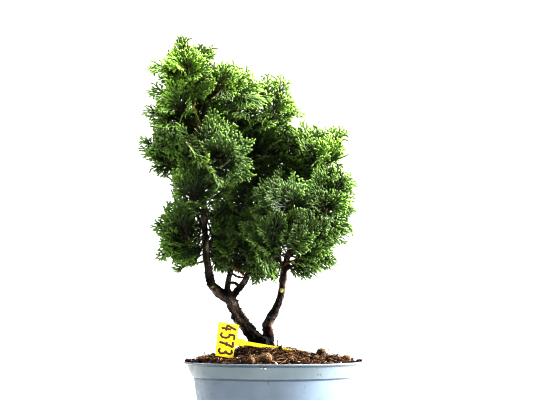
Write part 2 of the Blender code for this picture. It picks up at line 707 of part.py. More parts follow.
def label_outline(grow):
    """The label's outline in its own plane, x along the stake and z up, grown by a clearance."""
    head_w, head_h = LABEL_HEAD
    neck_w, neck_h = LABEL_NECK
    end = neck_w + LABEL_STAKE_LENGTH
    half, tip = LABEL_STAKE_WIDTH / 2, LABEL_TIP_WIDTH / 2
    upper = [
        (-head_w - grow, head_h / 2 + grow), (grow, head_h / 2 + grow), (grow, neck_h / 2 + grow),
        (neck_w + grow, neck_h / 2 + grow), (neck_w + grow, half + grow),
        (end - LABEL_TIP_LENGTH, tip + 0.5 * MM + grow), (end + grow, grow + 0.2 * MM),
    ]
    return upper + [(x, -z) for x, z in reversed(upper)]


def label_plate(name, grow):
    """The outline as a plate of the label's thickness, stood where the label lies."""
    work = bmesh.new()
    half = LABEL_THICKNESS / 2 + grow
    corners = [work.verts.new((x, -half, z)) for x, z in label_outline(grow)]
    face = work.faces.new(corners)
    pushed = bmesh.ops.extrude_face_region(work, geom=[face])
    moved = [item for item in pushed["geom"] if isinstance(item, bmesh.types.BMVert)]
    bmesh.ops.translate(work, verts=moved, vec=(0, 2 * half, 0))
    bmesh.ops.recalc_face_normals(work, faces=work.faces)
    turn = Matrix.Rotation(LABEL_YAW, 4, "Z") @ Matrix.Rotation(LABEL_ROLL, 4, "Y")
    bmesh.ops.transform(work, verts=work.verts, matrix=Matrix.Translation(LABEL_PLACE) @ turn)
    mesh = bpy.data.meshes.new(name)
    work.to_mesh(mesh)
    work.free()
    return add_object(name, mesh)


def main():
    clear_scene()
    plastic = material("pot_plastic", (0.33, 0.43, 0.50), 0.45)
    peat = material("potting_soil", (0.07, 0.035, 0.02), 0.95)
    bark = material("bark", (0.09, 0.06, 0.045), 0.9)
    green = material("hinoki_foliage", (0.09, 0.23, 0.03), 0.6)
    clay = material("baked_clay", (0.30, 0.19, 0.11), 0.9)
    yellow = material("label_plastic", (0.95, 0.82, 0.02), 0.4)

    build_pot(plastic)
    hollows = build_balls(clay)
    label_plate("plant_label", 0.0).data.materials.append(yellow)
    build_soil(peat, [stump_cutter(), label_plate("label_slot", GAP), *hollows])
    wood, branches = grow_crown()
    build_wood(wood, bark)
    for branch in branches:
        if branch["fans"]:
            build_foliage(branch, green)


main()
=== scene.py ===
"""A hinoki cypress bonsai in its nursery pot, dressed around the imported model.

Lengths are in metres, +Z is up and the front of the tree faces -Y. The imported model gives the
places and sizes of the pot, soil, wood, branches, label and clay balls.
"""

import json
import math

import bmesh
import bpy
import numpy as np
from mathutils import Matrix, Vector

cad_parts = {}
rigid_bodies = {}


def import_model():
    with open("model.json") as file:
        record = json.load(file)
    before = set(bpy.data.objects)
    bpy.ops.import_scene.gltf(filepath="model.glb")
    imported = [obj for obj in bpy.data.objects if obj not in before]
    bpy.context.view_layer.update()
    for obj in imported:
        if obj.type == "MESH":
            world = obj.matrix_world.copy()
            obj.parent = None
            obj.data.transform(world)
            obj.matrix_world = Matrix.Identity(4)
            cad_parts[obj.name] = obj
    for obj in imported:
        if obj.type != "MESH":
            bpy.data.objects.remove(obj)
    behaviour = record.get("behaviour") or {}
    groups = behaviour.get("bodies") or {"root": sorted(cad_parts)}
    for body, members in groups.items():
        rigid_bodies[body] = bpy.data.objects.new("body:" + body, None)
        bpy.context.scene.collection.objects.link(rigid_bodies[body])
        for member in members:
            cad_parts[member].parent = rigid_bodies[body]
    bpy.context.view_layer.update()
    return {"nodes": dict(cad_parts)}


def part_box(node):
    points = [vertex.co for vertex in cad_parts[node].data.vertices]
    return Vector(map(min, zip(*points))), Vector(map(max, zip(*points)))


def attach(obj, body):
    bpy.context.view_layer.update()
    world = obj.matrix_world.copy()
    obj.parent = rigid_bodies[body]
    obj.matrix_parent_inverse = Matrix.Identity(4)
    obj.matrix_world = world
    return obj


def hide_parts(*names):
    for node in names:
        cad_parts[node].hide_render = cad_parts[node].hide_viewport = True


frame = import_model()
MM = 0.001

# The view
# A long lens a good step away, its eye level just above the soil, looking up a little at the crown.
EYE = Vector((-5.8, -1300, 165)) * MM
LOOKED_AT = Vector((-5.8, 0, 254)) * MM
VIEW_WIDTH = 451.7 * MM  # what the picture spans at the trunk


def put(name, data, place=(0, 0, 0), aim=None):
    """A new object in the scene, turned so that its -Z looks at what it is aimed at."""
    made = bpy.data.objects.new(name, data)
    bpy.context.scene.collection.objects.link(made)
    made.location = place
    if aim is not None:
        made.rotation_euler = (Vector(aim) - Vector(place)).to_track_quat("-Z", "Y").to_euler()
    return made


camera = put("camera", bpy.data.cameras.new("camera"), EYE, LOOKED_AT)
camera.data.lens = camera.data.sensor_width * (LOOKED_AT - EYE).length / VIEW_WIDTH
camera.data.clip_end = 20
bpy.context.scene.camera = camera

# The pot
# A round nursery pot of grey-blue polypropylene, injection moulded in one shot: a thin lip, a flared
# band under it, a tapering wall and six drain holes. The mould leaves it satin, handling leaves scuffs.
POT_SIDES = 152
POT_OUTSIDE_MM = (  # radius, height, and how much of each side the corner's rounding takes
    (0, 0, 0), (51.5, 0, 0.6), (53.2, 1.6, 0.6), (66.9, 104.9, 0.25), (68.6, 105.8, 0.6),
    (72.8, 115.9, 0.3), (74.9, 116.6, 0.35), (75.0, 118, 0.6),
)
POT_INSIDE_MM = (
    (71.8, 118, 0.4), (71.3, 115.4, 0.4), (67.0, 106.4, 0.4), (65.4, 104.0, 0.4), (51.7, 2, 0.6), (0, 2, 0),
)
DRAIN_HOLES, DRAIN_RADIUS, DRAIN_CIRCLE = 6, 4 * MM, 34 * MM
NEAR = 0.001 * MM  # points this close are one


def linear(code):
    """An sRGB hex colour as linear RGBA: each channel over 12.92 below 0.04, else its 2.4 power."""
    channel = np.array([int(code[k : k + 2], 16) for k in (1, 3, 5)]) / 255
    return (*np.where(channel <= 0.04045, channel / 12.92, ((channel + 0.055) / 1.055) ** 2.4), 1.0)


def feed(tree, node, inputs):
    """Gives a node's inputs their values, or links them to a socket or to a node's first live output."""
    for key, value in inputs.items():
        if isinstance(value, bpy.types.Node):
            value = next(output for output in value.outputs if output.enabled)
        if isinstance(value, bpy.types.NodeSocket):
            tree.links.new(value, node.inputs[key])
        else:
            node.inputs[key].default_value = value


def add_node(tree, kind, inputs=None, stops=(), **properties):
    """Adds a shader node with its properties, its ramp's stops, and each input's value or link."""
    made = tree.nodes.new("ShaderNode" + kind)
    for name, value in properties.items():
        setattr(made, name, value)
    for k, (place, code) in enumerate(stops):
        ramp = made.color_ramp.elements
        stop = ramp[k] if k < len(ramp) else ramp.new(place)
        stop.position, stop.color = place, linear(code)
    feed(tree, made, inputs or {})
    return made


def new_finish(name, **sockets):
    """A material: its nodes, its Principled shader with these values, and places on the object."""
    made = bpy.data.materials.new(name)
    made.use_nodes = True
    tree = made.node_tree
    shader = tree.nodes["Principled BSDF"]
    feed(tree, shader, {socket.replace("_", " "): value for socket, value in sockets.items()})
    return made, tree, shader, add_node(tree, "TexCoord").outputs["Object"]


def new_mesh(name, points, faces, marks=None, merge=0.0):
    """A smooth mesh from arrays of points and triangles, with a value for each point under each mark."""
    mesh = bpy.data.meshes.new(name)
    mesh.from_pydata(points, [], faces)
    for mark, values in (marks or {}).items():
        layer = mesh.attributes.new(mark, "FLOAT", "POINT")
        layer.data.foreach_set("value", np.asarray(values, np.float32))
    if merge:
        work = bmesh.new()
        work.from_mesh(mesh)
        bmesh.ops.remove_doubles(work, verts=work.verts, dist=merge)
        work.to_mesh(mesh)
        work.free()
    mesh.shade_smooth()
    return mesh


def finished(thing):
    """The mesh that a thing's modifiers make of it."""
    bpy.context.view_layer.update()
    return bpy.data.meshes.new_from_object(thing.evaluated_get(bpy.context.evaluated_depsgraph_get()))


def add_piece(name, mesh, finish, stands_for=()):
    """Puts a mesh, or the points, triangles and marks of one, on the object, riding on its one body."""
    mesh = mesh if isinstance(mesh, bpy.types.Mesh) else new_mesh(name, *mesh)
    mesh.materials.append(finish)
    piece = put(name, mesh)
    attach(piece, "root")
    if stands_for:
        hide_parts(*stands_for)
    return piece


def grid_faces(rows, columns, closed=True):
    """Triangles of a grid of points, row after row; closed, its last column meets its first."""
    row, column = np.meshgrid(np.arange(rows - 1), np.arange(columns - (not closed)), indexing="ij")
    a, b = row * columns + column, row * columns + (column + 1) % columns
    c, d = a + columns, b + columns
    return np.stack([a, b, d, a, d, c], axis=-1).reshape(-1, 3)


def bow(start, middle, end, share):
    """A parabola: a mean of three points with weights (1 - share)^2, 2 share (1 - share) and share^2."""
    return (1 - share) ** 2 * start + 2 * share * (1 - share) * middle + share**2 * end


def rounded(corners_mm, steps=4):
    """A profile with rounded corners: each is a bow between a point before it and one after it."""
    corners = np.array(corners_mm, float) * MM
    place, cut = corners[:, :2], corners[:, 2:]
    to_last = np.roll(place, 1, axis=0) - place
    to_next = np.roll(place, -1, axis=0) - place
    before = place + cut * to_last / np.linalg.norm(to_last, axis=1)[:, None]
    after = place + cut * to_next / np.linalg.norm(to_next, axis=1)[:, None]
    share = np.linspace(0, 1, steps)[:, None]
    return bow(before[:, None], place[:, None], after[:, None], share).reshape(-1, 2)


def turned(profile, sides):
    """A profile of radius and height turned about Z: x is radius times cosine, y radius times sine."""
    angle = 2 * np.pi * np.arange(sides) / sides
    radius, height = profile[:, :1], profile[:, 1:]
    around = np.stack([radius * np.cos(angle), radius * np.sin(angle), height + 0 * angle], axis=-1)
    return around.reshape(-1, 3), grid_faces(len(profile), sides)


def drill(angle):
    """A short rod standing where a drain hole goes."""
    deep = 6 * MM
    rod = np.array([(0, -deep), (DRAIN_RADIUS, -deep), (DRAIN_RADIUS, deep), (0, deep)])
    points, faces = turned(rod, 28)
    points += (DRAIN_CIRCLE * math.cos(angle), DRAIN_CIRCLE * math.sin(angle), 0)
    return put("drill", new_mesh("drill", points, faces, merge=NEAR))


def polypropylene():
    """Moulded polypropylene: an even grey-blue, a little bluer below the band, with dust and scuffs, and
    painted shade in the grooves under the lip and the band.
    """
    finish, tree, shader, place = new_finish("moulded_polypropylene", Roughness=0.36, IOR=1.49)
    height = add_node(tree, "SeparateXYZ", {0: place}).outputs["Z"]
    band = add_node(tree, "MapRange", {0: height, 1: 104 * MM, 2: 106 * MM, 3: 0.0, 4: 1.0})
    mottle = add_node(tree, "TexNoise", {"Vector": place, "Scale": 1 / (24 * MM), "Detail": 4.0})
    body = add_node(tree, "ValToRGB", {0: mottle}, stops=((0.3, "#5A6876"), (0.7, "#657382")))
    collar = add_node(tree, "ValToRGB", {0: mottle}, stops=((0.3, "#5B6870"), (0.7, "#667279")))
    plain = add_node(tree, "Mix", {0: band, 6: body, 7: collar}, data_type="RGBA")
    # painted shade darkens the two grooves, under the lip and under the band, and fine dust lies in them
    away = [add_node(tree, "Math", {0: height, 1: z * MM, 2: 0.85 * MM}, operation="COMPARE")
            for z in (116.1, 105.0)]
    groove = add_node(tree, "Math", {0: away[0], 1: away[1]}, operation="MAXIMUM")
    groove_dust_and_shade = add_node(tree, "Math", {0: groove, 1: 0.8}, operation="MULTIPLY")
    grey = add_node(tree, "Mix", {0: groove_dust_and_shade, 6: plain, 7: linear("#2F3D4C")}, data_type="RGBA")
    # dust and crumbs of peat stick to it: specks 0.5 to 1 mm across, most of them under the lip
    speckle = add_node(tree, "TexNoise", {"Vector": place, "Scale": 1 / (1.5 * MM), "Detail": 2.0})
    cloud = add_node(tree, "TexNoise", {"Vector": place, "Scale": 1 / (11 * MM)})
    both = add_node(tree, "Math", {0: speckle, 1: cloud}, operation="MULTIPLY")
    rise = add_node(tree, "MapRange", {0: height, 1: 60 * MM, 2: 118 * MM, 3: -0.03, 4: 0.0})
    dirt = add_node(tree, "Math", {0: both, 1: rise}, operation="ADD")
    specks = add_node(tree, "MapRange", {0: dirt, 1: 0.405, 2: 0.43, 3: 0.0, 4: 0.8})
    colour = add_node(tree, "Mix", {0: specks, 6: grey, 7: linear("#4A4038")}, data_type="RGBA")
    scuff = add_node(tree, "TexNoise", {"Vector": place, "Scale": 1 / (5 * MM), "Detail": 5.0})
    rough = add_node(tree, "MapRange", {0: scuff, 1: 0.3, 2: 0.7, 3: 0.3, 4: 0.5})
    grain = add_node(tree, "TexNoise", {"Vector": place, "Scale": 1 / (0.9 * MM), "Detail": 3.0})
    bump = add_node(tree, "Bump", {"Height": grain, "Strength": 0.12, "Distance": 0.05 * MM})
    feed(tree, shader, {"Base Color": colour, "Roughness": rough, "Normal": bump})
    return finish


pot_points, pot_faces = turned(rounded(POT_OUTSIDE_MM + POT_INSIDE_MM), POT_SIDES)
pot = add_piece("nursery_pot", (pot_points, pot_faces, None, NEAR), polypropylene(), ["pot"])
drills = bpy.data.collections.new("drills")
bpy.context.scene.collection.children.link(drills)
for k in range(DRAIN_HOLES):
    rod = drill(2 * math.pi * (k + 0.5) / DRAIN_HOLES)
    bpy.context.scene.collection.objects.unlink(rod)
    drills.objects.link(rod)
cut = pot.modifiers.new("drain_holes", "BOOLEAN")
cut.operation, cut.operand_type, cut.collection = "DIFFERENCE", "COLLECTION", drills
holed = finished(pot)
pot.modifiers.clear()
pot.data = holed
pot.data.shade_smooth()
pot.data.set_sharp_from_angle(angle=math.radians(50))
for rod in list(drills.objects):
    bpy.data.objects.remove(rod)
bpy.data.collections.remove(drills)

# The soil
# Peaty potting soil, mounded round the root: dark crumbs packed on each other, with loose lumps,
# tan fibres of coir, a few white grains of perlite and the stubs of dead twigs lying on top.
SOIL_SIDE = 176  # points along each side of the grid that covers the top
SOIL_EDGE_Z = 116.8 * MM
HUMPS_MM = (  # x, y, rise and spread: the mound, a heap, one by the root, the hollows before label and ball
    (-8, -4, 13.5, 47), (52, -2, 2.8, 14), (-20, 2, 2.2, 10), (-33, -29, -5.5, 10), (-6, -67, -2.2, 9),
)
GRANULES_MM = ((4.0, 1.8), (1.8, 0.9))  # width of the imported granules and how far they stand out
LUMPS, CRUMBS, FIBRES = 110, 800, 820
RIM_CRUMBS = ((180, 26, 30), (0, 16, 18))  # middle and spread in degrees of the crumbs on the lip, and how many
RIM_RADIUS_MM, RIM_HEIGHT_MM = (71.5, 74.2), (118.2, 119.6)  # where those crumbs lie
SOIL_FLOOR, SOIL_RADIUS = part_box("soil")[0].z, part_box("soil")[1].x
SOIL_WALL = ((51.2 * MM, SOIL_FLOOR), (65 * MM, 103 * MM))  # radius and height of the rings under the top's rim


def disc_grid(count):
    """A square grid bent to a round disc: the larger coordinate is the radius, the smaller the angle."""
    step = np.linspace(-1, 1, count)
    x, y = np.meshgrid(step, step)
    wide = np.abs(x) >= np.abs(y)
    radius = np.where(wide, x, y)
    with np.errstate(divide="ignore", invalid="ignore"):
        angle = np.where(wide, np.pi / 4 * y / x, np.pi / 2 - np.pi / 4 * x / y)
    return radius * np.cos(angle), radius * np.sin(angle)


def mound(x, y):
    """The soil's height: level at the wall, and e^-(away/spread)^2 of its rise for each hump."""
    rise = sum(high * np.exp(-(np.hypot(x / MM - at_x, y / MM - at_y) / spread) ** 2)
               for at_x, at_y, high, spread in HUMPS_MM)
    return SOIL_EDGE_Z + rise * MM * np.clip(6 * (1 - np.hypot(x, y) / (75 * MM)), 0, 1)


def granules(x, y, size, seed):
    """Packed granules: the height is a dome round the nearest of the points of a jittered grid."""
    table = np.random.default_rng(seed).random((61, 61, 3))
    cell = np.stack([np.floor(x / size), np.floor(y / size)]).astype(int)
    nearest, tint = np.full(x.shape, 9.0), np.zeros(x.shape)
    for step_x in (-1, 0, 1):
        for step_y in (-1, 0, 1):
            there = cell + np.array((step_x, step_y)).reshape(2, *[1] * x.ndim)
            jitter = table[there[0] % 61, there[1] % 61]
            away = np.hypot(there[0] + jitter[..., 0] - x / size, there[1] + jitter[..., 1] - y / size)
            tint = np.where(away < nearest, jitter[..., 2], tint)
            nearest = np.minimum(nearest, away)
    return np.sqrt(np.clip(1 - (nearest / 0.85) ** 2, 0, 1)) * (0.55 + 0.45 * tint), tint


def soil_top(x, y):
    """The mound with its granules, and the tint of the granule at each place, dimmed towards its edge as
    painted shade in the crevices.
    """
    height = mound(x, y)
    tints_and_crevice_shade = []
    for k, (width, rise) in enumerate(GRANULES_MM):
        dome, tint = granules(x + 0.3 * y, y, width * MM, 20 + k)
        height = height + rise * MM * (dome - 0.6)
        # the tint fades towards each granule's edge: painted shade in the crevices between granules
        tints_and_crevice_shade.append(tint * (0.05 + 0.95 * dome))
    return height, 0.55 * tints_and_crevice_shade[0] + 0.55 * tints_and_crevice_shade[1]


def potting_soil(name, dark, middle, light, grain):
    """Peat and compost: matt, almost black on the darkest crumbs and in the painted shade between granules,
    red-brown and tan where the crumbs are dry.
    """
    finish, tree, shader, place = new_finish(name, Roughness=0.95, Specular_IOR_Level=0.06)
    # the tint mark: each crumb's own tone, and on the soil plug painted shade between its granules as well
    tint = add_node(tree, "Attribute", attribute_name="tint").outputs["Fac"]
    fine = add_node(tree, "TexNoise", {"Vector": place, "Scale": 1 / grain, "Detail": 6.0, "Roughness": 0.7})
    shift = add_node(tree, "MapRange", {0: fine, 1: 0.3, 2: 0.7, 3: -0.35, 4: 0.35})
    mixed = add_node(tree, "Math", {0: tint, 1: shift}, operation="ADD")
    colour = add_node(tree, "ValToRGB", {0: mixed}, stops=((0.15, dark), (0.5, middle), (0.95, light)))
    bump = add_node(tree, "Bump", {"Height": fine, "Strength": 0.9, "Distance": 0.4 * MM})
    feed(tree, shader, {"Base Color": colour, "Normal": bump})
    return finish


def build_soil():
    """The granules on the disc, and under its rim a plain wall down to the pot's floor."""
    x, y = (SOIL_RADIUS * step for step in disc_grid(SOIL_SIDE))
    z, tint = soil_top(x, y)
    top = np.stack([x, y, z], axis=-1)
    # the rim of the grid, anticlockwise, leads down the wall of the pot to its floor
    loop = np.concatenate([top[0, :-1], top[:-1, -1], top[-1, :0:-1], top[:0:-1, 0]])
    way = loop[:, :2] / np.linalg.norm(loop[:, :2], axis=1)[:, None]
    rings = [np.column_stack([way * radius, np.full(len(way), height)]) for radius, height in SOIL_WALL]
    points = np.concatenate([top.reshape(-1, 3), *rings, loop, [(0, 0, SOIL_FLOOR)]])
    first = SOIL_SIDE**2
    ring = first + np.arange(len(loop))
    floor = np.column_stack([np.full(len(loop), len(points) - 1), np.roll(ring, -1), ring])
    wall = first + grid_faces(3, len(loop))
    faces = np.concatenate([grid_faces(SOIL_SIDE, SOIL_SIDE, closed=False), wall, floor])
    tints_and_crevice_shade = np.concatenate([tint.ravel(), np.full(len(points) - first, 0.3)])
    add_piece("soil_plug", (points, faces, {"tint": tints_and_crevice_shade}, NEAR), PEAT, ["soil"])


def lumps(places, sizes, detail, seed, squash=0.62):
    """Uneven lumps: a ball's points pushed by waves, stretched by an own factor each way and turned."""
    rng = np.random.default_rng(seed)
    ball = bmesh.new()
    bmesh.ops.create_icosphere(ball, subdivisions=detail, radius=1)
    unit = np.array([corner.co for corner in ball.verts])
    faces = np.array([[corner.index for corner in face.verts] for face in ball.faces])
    ball.free()
    count = len(places)
    wave = rng.normal(0, 1, (count, 3, 3))
    push = 1 + 0.16 * np.sin(2.2 * unit @ wave + rng.uniform(0, 6, (count, 1, 3))).sum(-1, keepdims=True)
    stretch = rng.uniform((0.8, 0.6, squash * 0.7), (1.25, 1.0, squash * 1.3), (count, 3))[:, None]
    turn = np.linalg.qr(rng.normal(0, 1, (count, 3, 3)))[0]
    points = places[:, None] + (unit * push * stretch * sizes[:, None, None]) @ turn
    steps = len(unit) * np.arange(count)[:, None, None]
    outwards = np.where(np.linalg.det(turn)[:, None, None] < 0, faces[None, :, ::-1], faces[None])
    return points.reshape(-1, 3), (outwards + steps).reshape(-1, 3), len(unit)


def tubes(paths, radii, sides):
    """Round tubes along paths, all with as many points: each point gets a ring square to the path.

    A ring's spokes are a fixed slanted direction made square to the path, and its cross product
    with the path. A point ahead of each end closes the tube.
    """
    way = np.gradient(paths, axis=1)
    way /= np.linalg.norm(way, axis=2, keepdims=True)
    spoke = np.cross(way, (0.31, 0.62, 0.72))
    spoke /= np.linalg.norm(spoke, axis=2, keepdims=True)
    other = np.cross(way, spoke)
    angle = 2 * np.pi * np.arange(sides) / sides
    around = spoke[:, :, None] * np.cos(angle)[:, None] + other[:, :, None] * np.sin(angle)[:, None]
    rings = paths[:, :, None] + radii[:, :, None, None] * around
    count, length = paths.shape[:2]
    ends = paths[:, (0, -1)] + way[:, (0, -1)] * radii[:, (0, -1), None] * np.array((-0.5, 0.5))[:, None]
    points = np.concatenate([rings.reshape(count, -1, 3), ends], axis=1)
    ring = np.arange(sides)
    beside = (ring + 1) % sides
    last = (length - 1) * sides
    foot = np.column_stack([np.full(sides, length * sides), beside, ring])
    tip = np.column_stack([np.full(sides, length * sides + 1), last + ring, last + beside])
    faces = np.concatenate([grid_faces(length, sides), foot, tip])
    steps = points.shape[1] * np.arange(count)[:, None, None]
    return points.reshape(-1, 3), (faces + steps).reshape(-1, 3), points.shape[1]


def scattered(count, rng, margin=1.5 * MM):
    """Places on the soil, evenly spread: the radius is the square root of a draw, the angle a draw."""
    radius = (SOIL_RADIUS - margin) * np.sqrt(rng.uniform(0, 1, count))
    angle = rng.uniform(0, 2 * np.pi, count)
    x, y = radius * np.cos(angle), radius * np.sin(angle)
    return np.column_stack([x, y, soil_top(x, y)[0]])


def build_litter():
    """What lies loose on the soil: lumps and crumbs of peat, some crumbs on the pot's lip, and fibres."""
    rng = np.random.default_rng(11)
    for name, count, detail, low, high, seed in (
        ("peat_lumps", LUMPS, 2, 0.9, 1.9, 31), ("peat_crumbs", CRUMBS, 1, 0.4, 1.15, 32),
    ):
        size = rng.uniform(low, high, count) ** 1.3 * MM
        place = scattered(count, rng) + np.column_stack([np.zeros((count, 2)), 0.15 * size])
        if name == "peat_crumbs":
            angle = [rng.normal(at, 0.5 * wide, some) for at, wide, some in RIM_CRUMBS]
            angle = np.radians(np.concatenate(angle))
            radius = rng.uniform(*RIM_RADIUS_MM, len(angle)) * MM
            height = rng.uniform(*RIM_HEIGHT_MM, len(angle)) * MM
            rim = np.column_stack([radius * np.cos(angle), radius * np.sin(angle), height])
            place = np.concatenate([place, rim])
            size = np.concatenate([size, rng.uniform(0.6, 1.5, len(angle)) * MM])
            count += len(angle)
        points, faces, each = lumps(place, size, detail, seed)
        tint = np.repeat(rng.beta(1.6, 2.2, count), each)
        add_piece(name, (points, faces, {"tint": tint}), PEAT)
    # a fibre lies on the crumbs in a loose arc: its heading turns evenly along its length
    length = rng.uniform(3, 13, FIBRES) * MM
    heading, turn = rng.uniform(0, 2 * np.pi, FIBRES), rng.normal(0, 1.3, FIBRES)
    share = np.linspace(-0.5, 0.5, 8)
    way = heading[:, None] + 0.5 * turn[:, None] * share
    foot = scattered(FIBRES, rng, 6 * MM)
    x = foot[:, :1] + length[:, None] * share * np.cos(way)
    y = foot[:, 1:2] + length[:, None] * share * np.sin(way)
    inside = np.minimum(1, (SOIL_RADIUS - 0.5 * MM) / np.hypot(x, y))
    x, y = x * inside, y * inside
    arch = rng.uniform(-0.6, 1.6, FIBRES)[:, None] * MM * (1 - 4 * share**2)
    tilt = rng.normal(0, 0.12, FIBRES)[:, None] * length[:, None] * share
    z = np.maximum(mound(x, y), 0.5 * (mound(x, y) + foot[:, 2:])) + 0.7 * MM + arch + tilt
    radii = rng.uniform(0.12, 0.3, FIBRES)[:, None] * MM * (1 - 0.6 * np.abs(2 * share) ** 3)
    points, faces, each = tubes(np.stack([x, y, z], axis=-1), radii, 3)
    tint = np.repeat(rng.uniform(0, 1, FIBRES), each)
    add_piece("coir_fibres", (points, faces, {"tint": tint}), COIR)


PEAT = potting_soil("damp_peat", "#020100", "#1A100A", "#664934", 1.6 * MM)
COIR = potting_soil("dry_coir", "#1C120B", "#5A402C", "#A4835E", 3.0 * MM)
build_soil()
build_litter()

# Perlite and twig stubs
# White expanded glass grains as potting soil holds them, two stuck to the pot's band, and the grey
# stubs of twigs that died and stand in the soil.
PERLITE_MM = (  # x, y and radius of the grains that show in front
    (-30, -37, 1.6), (-27.6, -38, 1.0), (2, -66, 1.4), (-6.5, -23, 1.1), (13.6, -45, 0.9),
    (20, -58, 0.7), (-11, -50, 0.6), (55, -40, 0.7),
)
LOOSE_PERLITE = 24
ON_BAND_MM = ((-9.6, 115.2, 0.75), (-6.9, 115.0, 1.25))  # x, height and radius
BAND_RADIUS = 72.7 * MM
STUBS_MM = (  # foot x and y, then how far the tip stands off it, and radius
    (-56, -22, -0.8, -0.6, 5.5, 0.35), (3.8, -14, -0.3, 0, 7.5, 0.5), (5.3, -14.5, 1.2, 0, 3.5, 0.55),
    (46, 6, 0.4, 0.4, 6.0, 0.25), (31, 2, -0.6, 0, 5.0, 0.22),
)


def perlite():
    """Expanded volcanic glass: chalk white, matt, with a faint warm shade in its pores."""
    finish, tree, shader, place = new_finish("expanded_perlite", Roughness=0.85, IOR=1.45)
    pores = add_node(tree, "TexVoronoi", {"Vector": place, "Scale": 1 / (0.5 * MM)})
    colour = add_node(tree, "ValToRGB", {0: pores}, stops=((0.1, "#9C8C7A"), (0.5, "#DCD2C6")))
    feed(tree, shader, {"Base Color": colour})
    return finish


def build_grains():
    """Grains in the soil and on the band, and stubs whose wave is half a millimetre of sine."""
    rng = np.random.default_rng(5)
    rows = np.array(PERLITE_MM) * MM
    shown = np.column_stack([rows[:, :2], soil_top(rows[:, 0], rows[:, 1])[0] + 0.4 * rows[:, 2]])
    loose = scattered(LOOSE_PERLITE, rng)
    band = np.array(ON_BAND_MM) * MM
    stuck = np.column_stack([band[:, 0], -np.sqrt(BAND_RADIUS**2 - band[:, 0] ** 2), band[:, 1]])
    sizes = np.concatenate([rows[:, 2], rng.uniform(0.35, 0.7, LOOSE_PERLITE) * MM, band[:, 2]])
    points, faces, _ = lumps(np.concatenate([shown, loose, stuck]), sizes, 1, 8, 0.8)
    add_piece("perlite_grains", (points, faces), perlite())
    stubs = np.array(STUBS_MM) * MM
    foot = np.column_stack([stubs[:, :2], soil_top(stubs[:, 0], stubs[:, 1])[0] - 2 * MM])
    share = np.linspace(0, 1, 8)
    paths = foot[:, None] + (stubs[:, None, 2:5] + (0, 0, 2 * MM)) * share[:, None]
    paths[..., 0] += 0.5 * MM * np.sin(5 * share + np.arange(len(stubs))[:, None])
    radii = stubs[:, 5:] * (1 - 0.35 * share) * (1 + 0.25 * np.sin(9 * share))
    points, faces, each = tubes(paths, radii, 7)
    add_piece("twig_stubs", (points, faces, {"tint": np.full(len(points), 0.25)}), COIR)


build_grains()

# The clay balls
# Expanded clay balls, fired in a kiln, half sunk in the soil: brown-tan, pitted, with peat in the pits.
BALL_LIFTS_MM = {"clay_ball_front": -1.6, "clay_ball_right": 1, "clay_ball_edge": 0, "clay_ball_small": 0}
BALL_CRUMB_MM = (34.9, -34, 2.2)  # one more, too small to need a solid of its own
BALL_ROWS, BALL_COLUMNS = 26, 52


def fired_clay():
    """Expanded clay: a dry sintered skin, tan on its high spots and dark brown in its pits."""
    finish, tree, shader, place = new_finish("expanded_clay", Roughness=0.9, Specular_IOR_Level=0.15)
    pits = add_node(tree, "TexNoise",
                    {"Vector": place, "Scale": 1 / (1.3 * MM), "Detail": 6.0, "Roughness": 0.65})
    patch = add_node(tree, "TexNoise", {"Vector": place, "Scale": 1 / (6 * MM), "Detail": 2.0})
    tan = add_node(tree, "ValToRGB", {0: pits}, stops=((0.36, "#1C120A"), (0.52, "#5E4832"), (0.68, "#988260")))
    smear = add_node(tree, "MapRange", {0: patch, 1: 0.5, 2: 0.68, 3: 0.0, 4: 0.7})
    colour = add_node(tree, "Mix", {0: smear, 6: tan, 7: linear("#20130C")}, data_type="RGBA")
    bump = add_node(tree, "Bump", {"Height": pits, "Strength": 0.8, "Distance": 0.35 * MM})
    feed(tree, shader, {"Base Color": colour, "Normal": bump})
    return finish


def waves(points, size, seed):
    """A smooth uneven field: a quarter of the sum of nine sine waves that run random ways, one size long."""
    rng = np.random.default_rng(seed)
    way = rng.normal(0, 1, (3, 9))
    way /= np.linalg.norm(way, axis=0) * size / (2 * np.pi * rng.uniform(0.7, 1.3, 9))
    return np.sin(points @ way + rng.uniform(0, 6.3, 9)).sum(-1) / 4


def ball(centre, radius):
    """A ball on a grid of latitude and longitude, its radius swollen and dented by two sizes of waves."""
    rise = np.linspace(-np.pi / 2, np.pi / 2, BALL_ROWS)[:, None]
    angle = 2 * np.pi * np.arange(BALL_COLUMNS) / BALL_COLUMNS
    way = np.stack([np.cos(rise) * np.cos(angle), np.cos(rise) * np.sin(angle), np.sin(rise) + 0 * angle], -1)
    way = way.reshape(-1, 3)
    spot = np.array(centre) + radius * way
    dents = 0.05 * waves(spot, 1.3 * radius, 3) + 0.022 * waves(spot, 1.5 * MM, 4)
    points = np.array(centre) + radius * (1 + dents)[:, None] * way
    return points, grid_faces(BALL_ROWS, BALL_COLUMNS), None, NEAR


clay = fired_clay()
for node, lift in BALL_LIFTS_MM.items():
    low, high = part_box(node)
    middle = (low + high) / 2 + Vector((0, 0, lift)) * MM
    add_piece(node + "_fired", ball(middle, 0.49 * (high - low).x), clay, [node])
crumb_x, crumb_y, crumb_radius = (value * MM for value in BALL_CRUMB_MM)
crumb_z = float(mound(np.array(crumb_x), np.array(crumb_y))) + 0.5 * crumb_radius
add_piece("clay_crumb", ball((crumb_x, crumb_y, crumb_z), crumb_radius), clay)

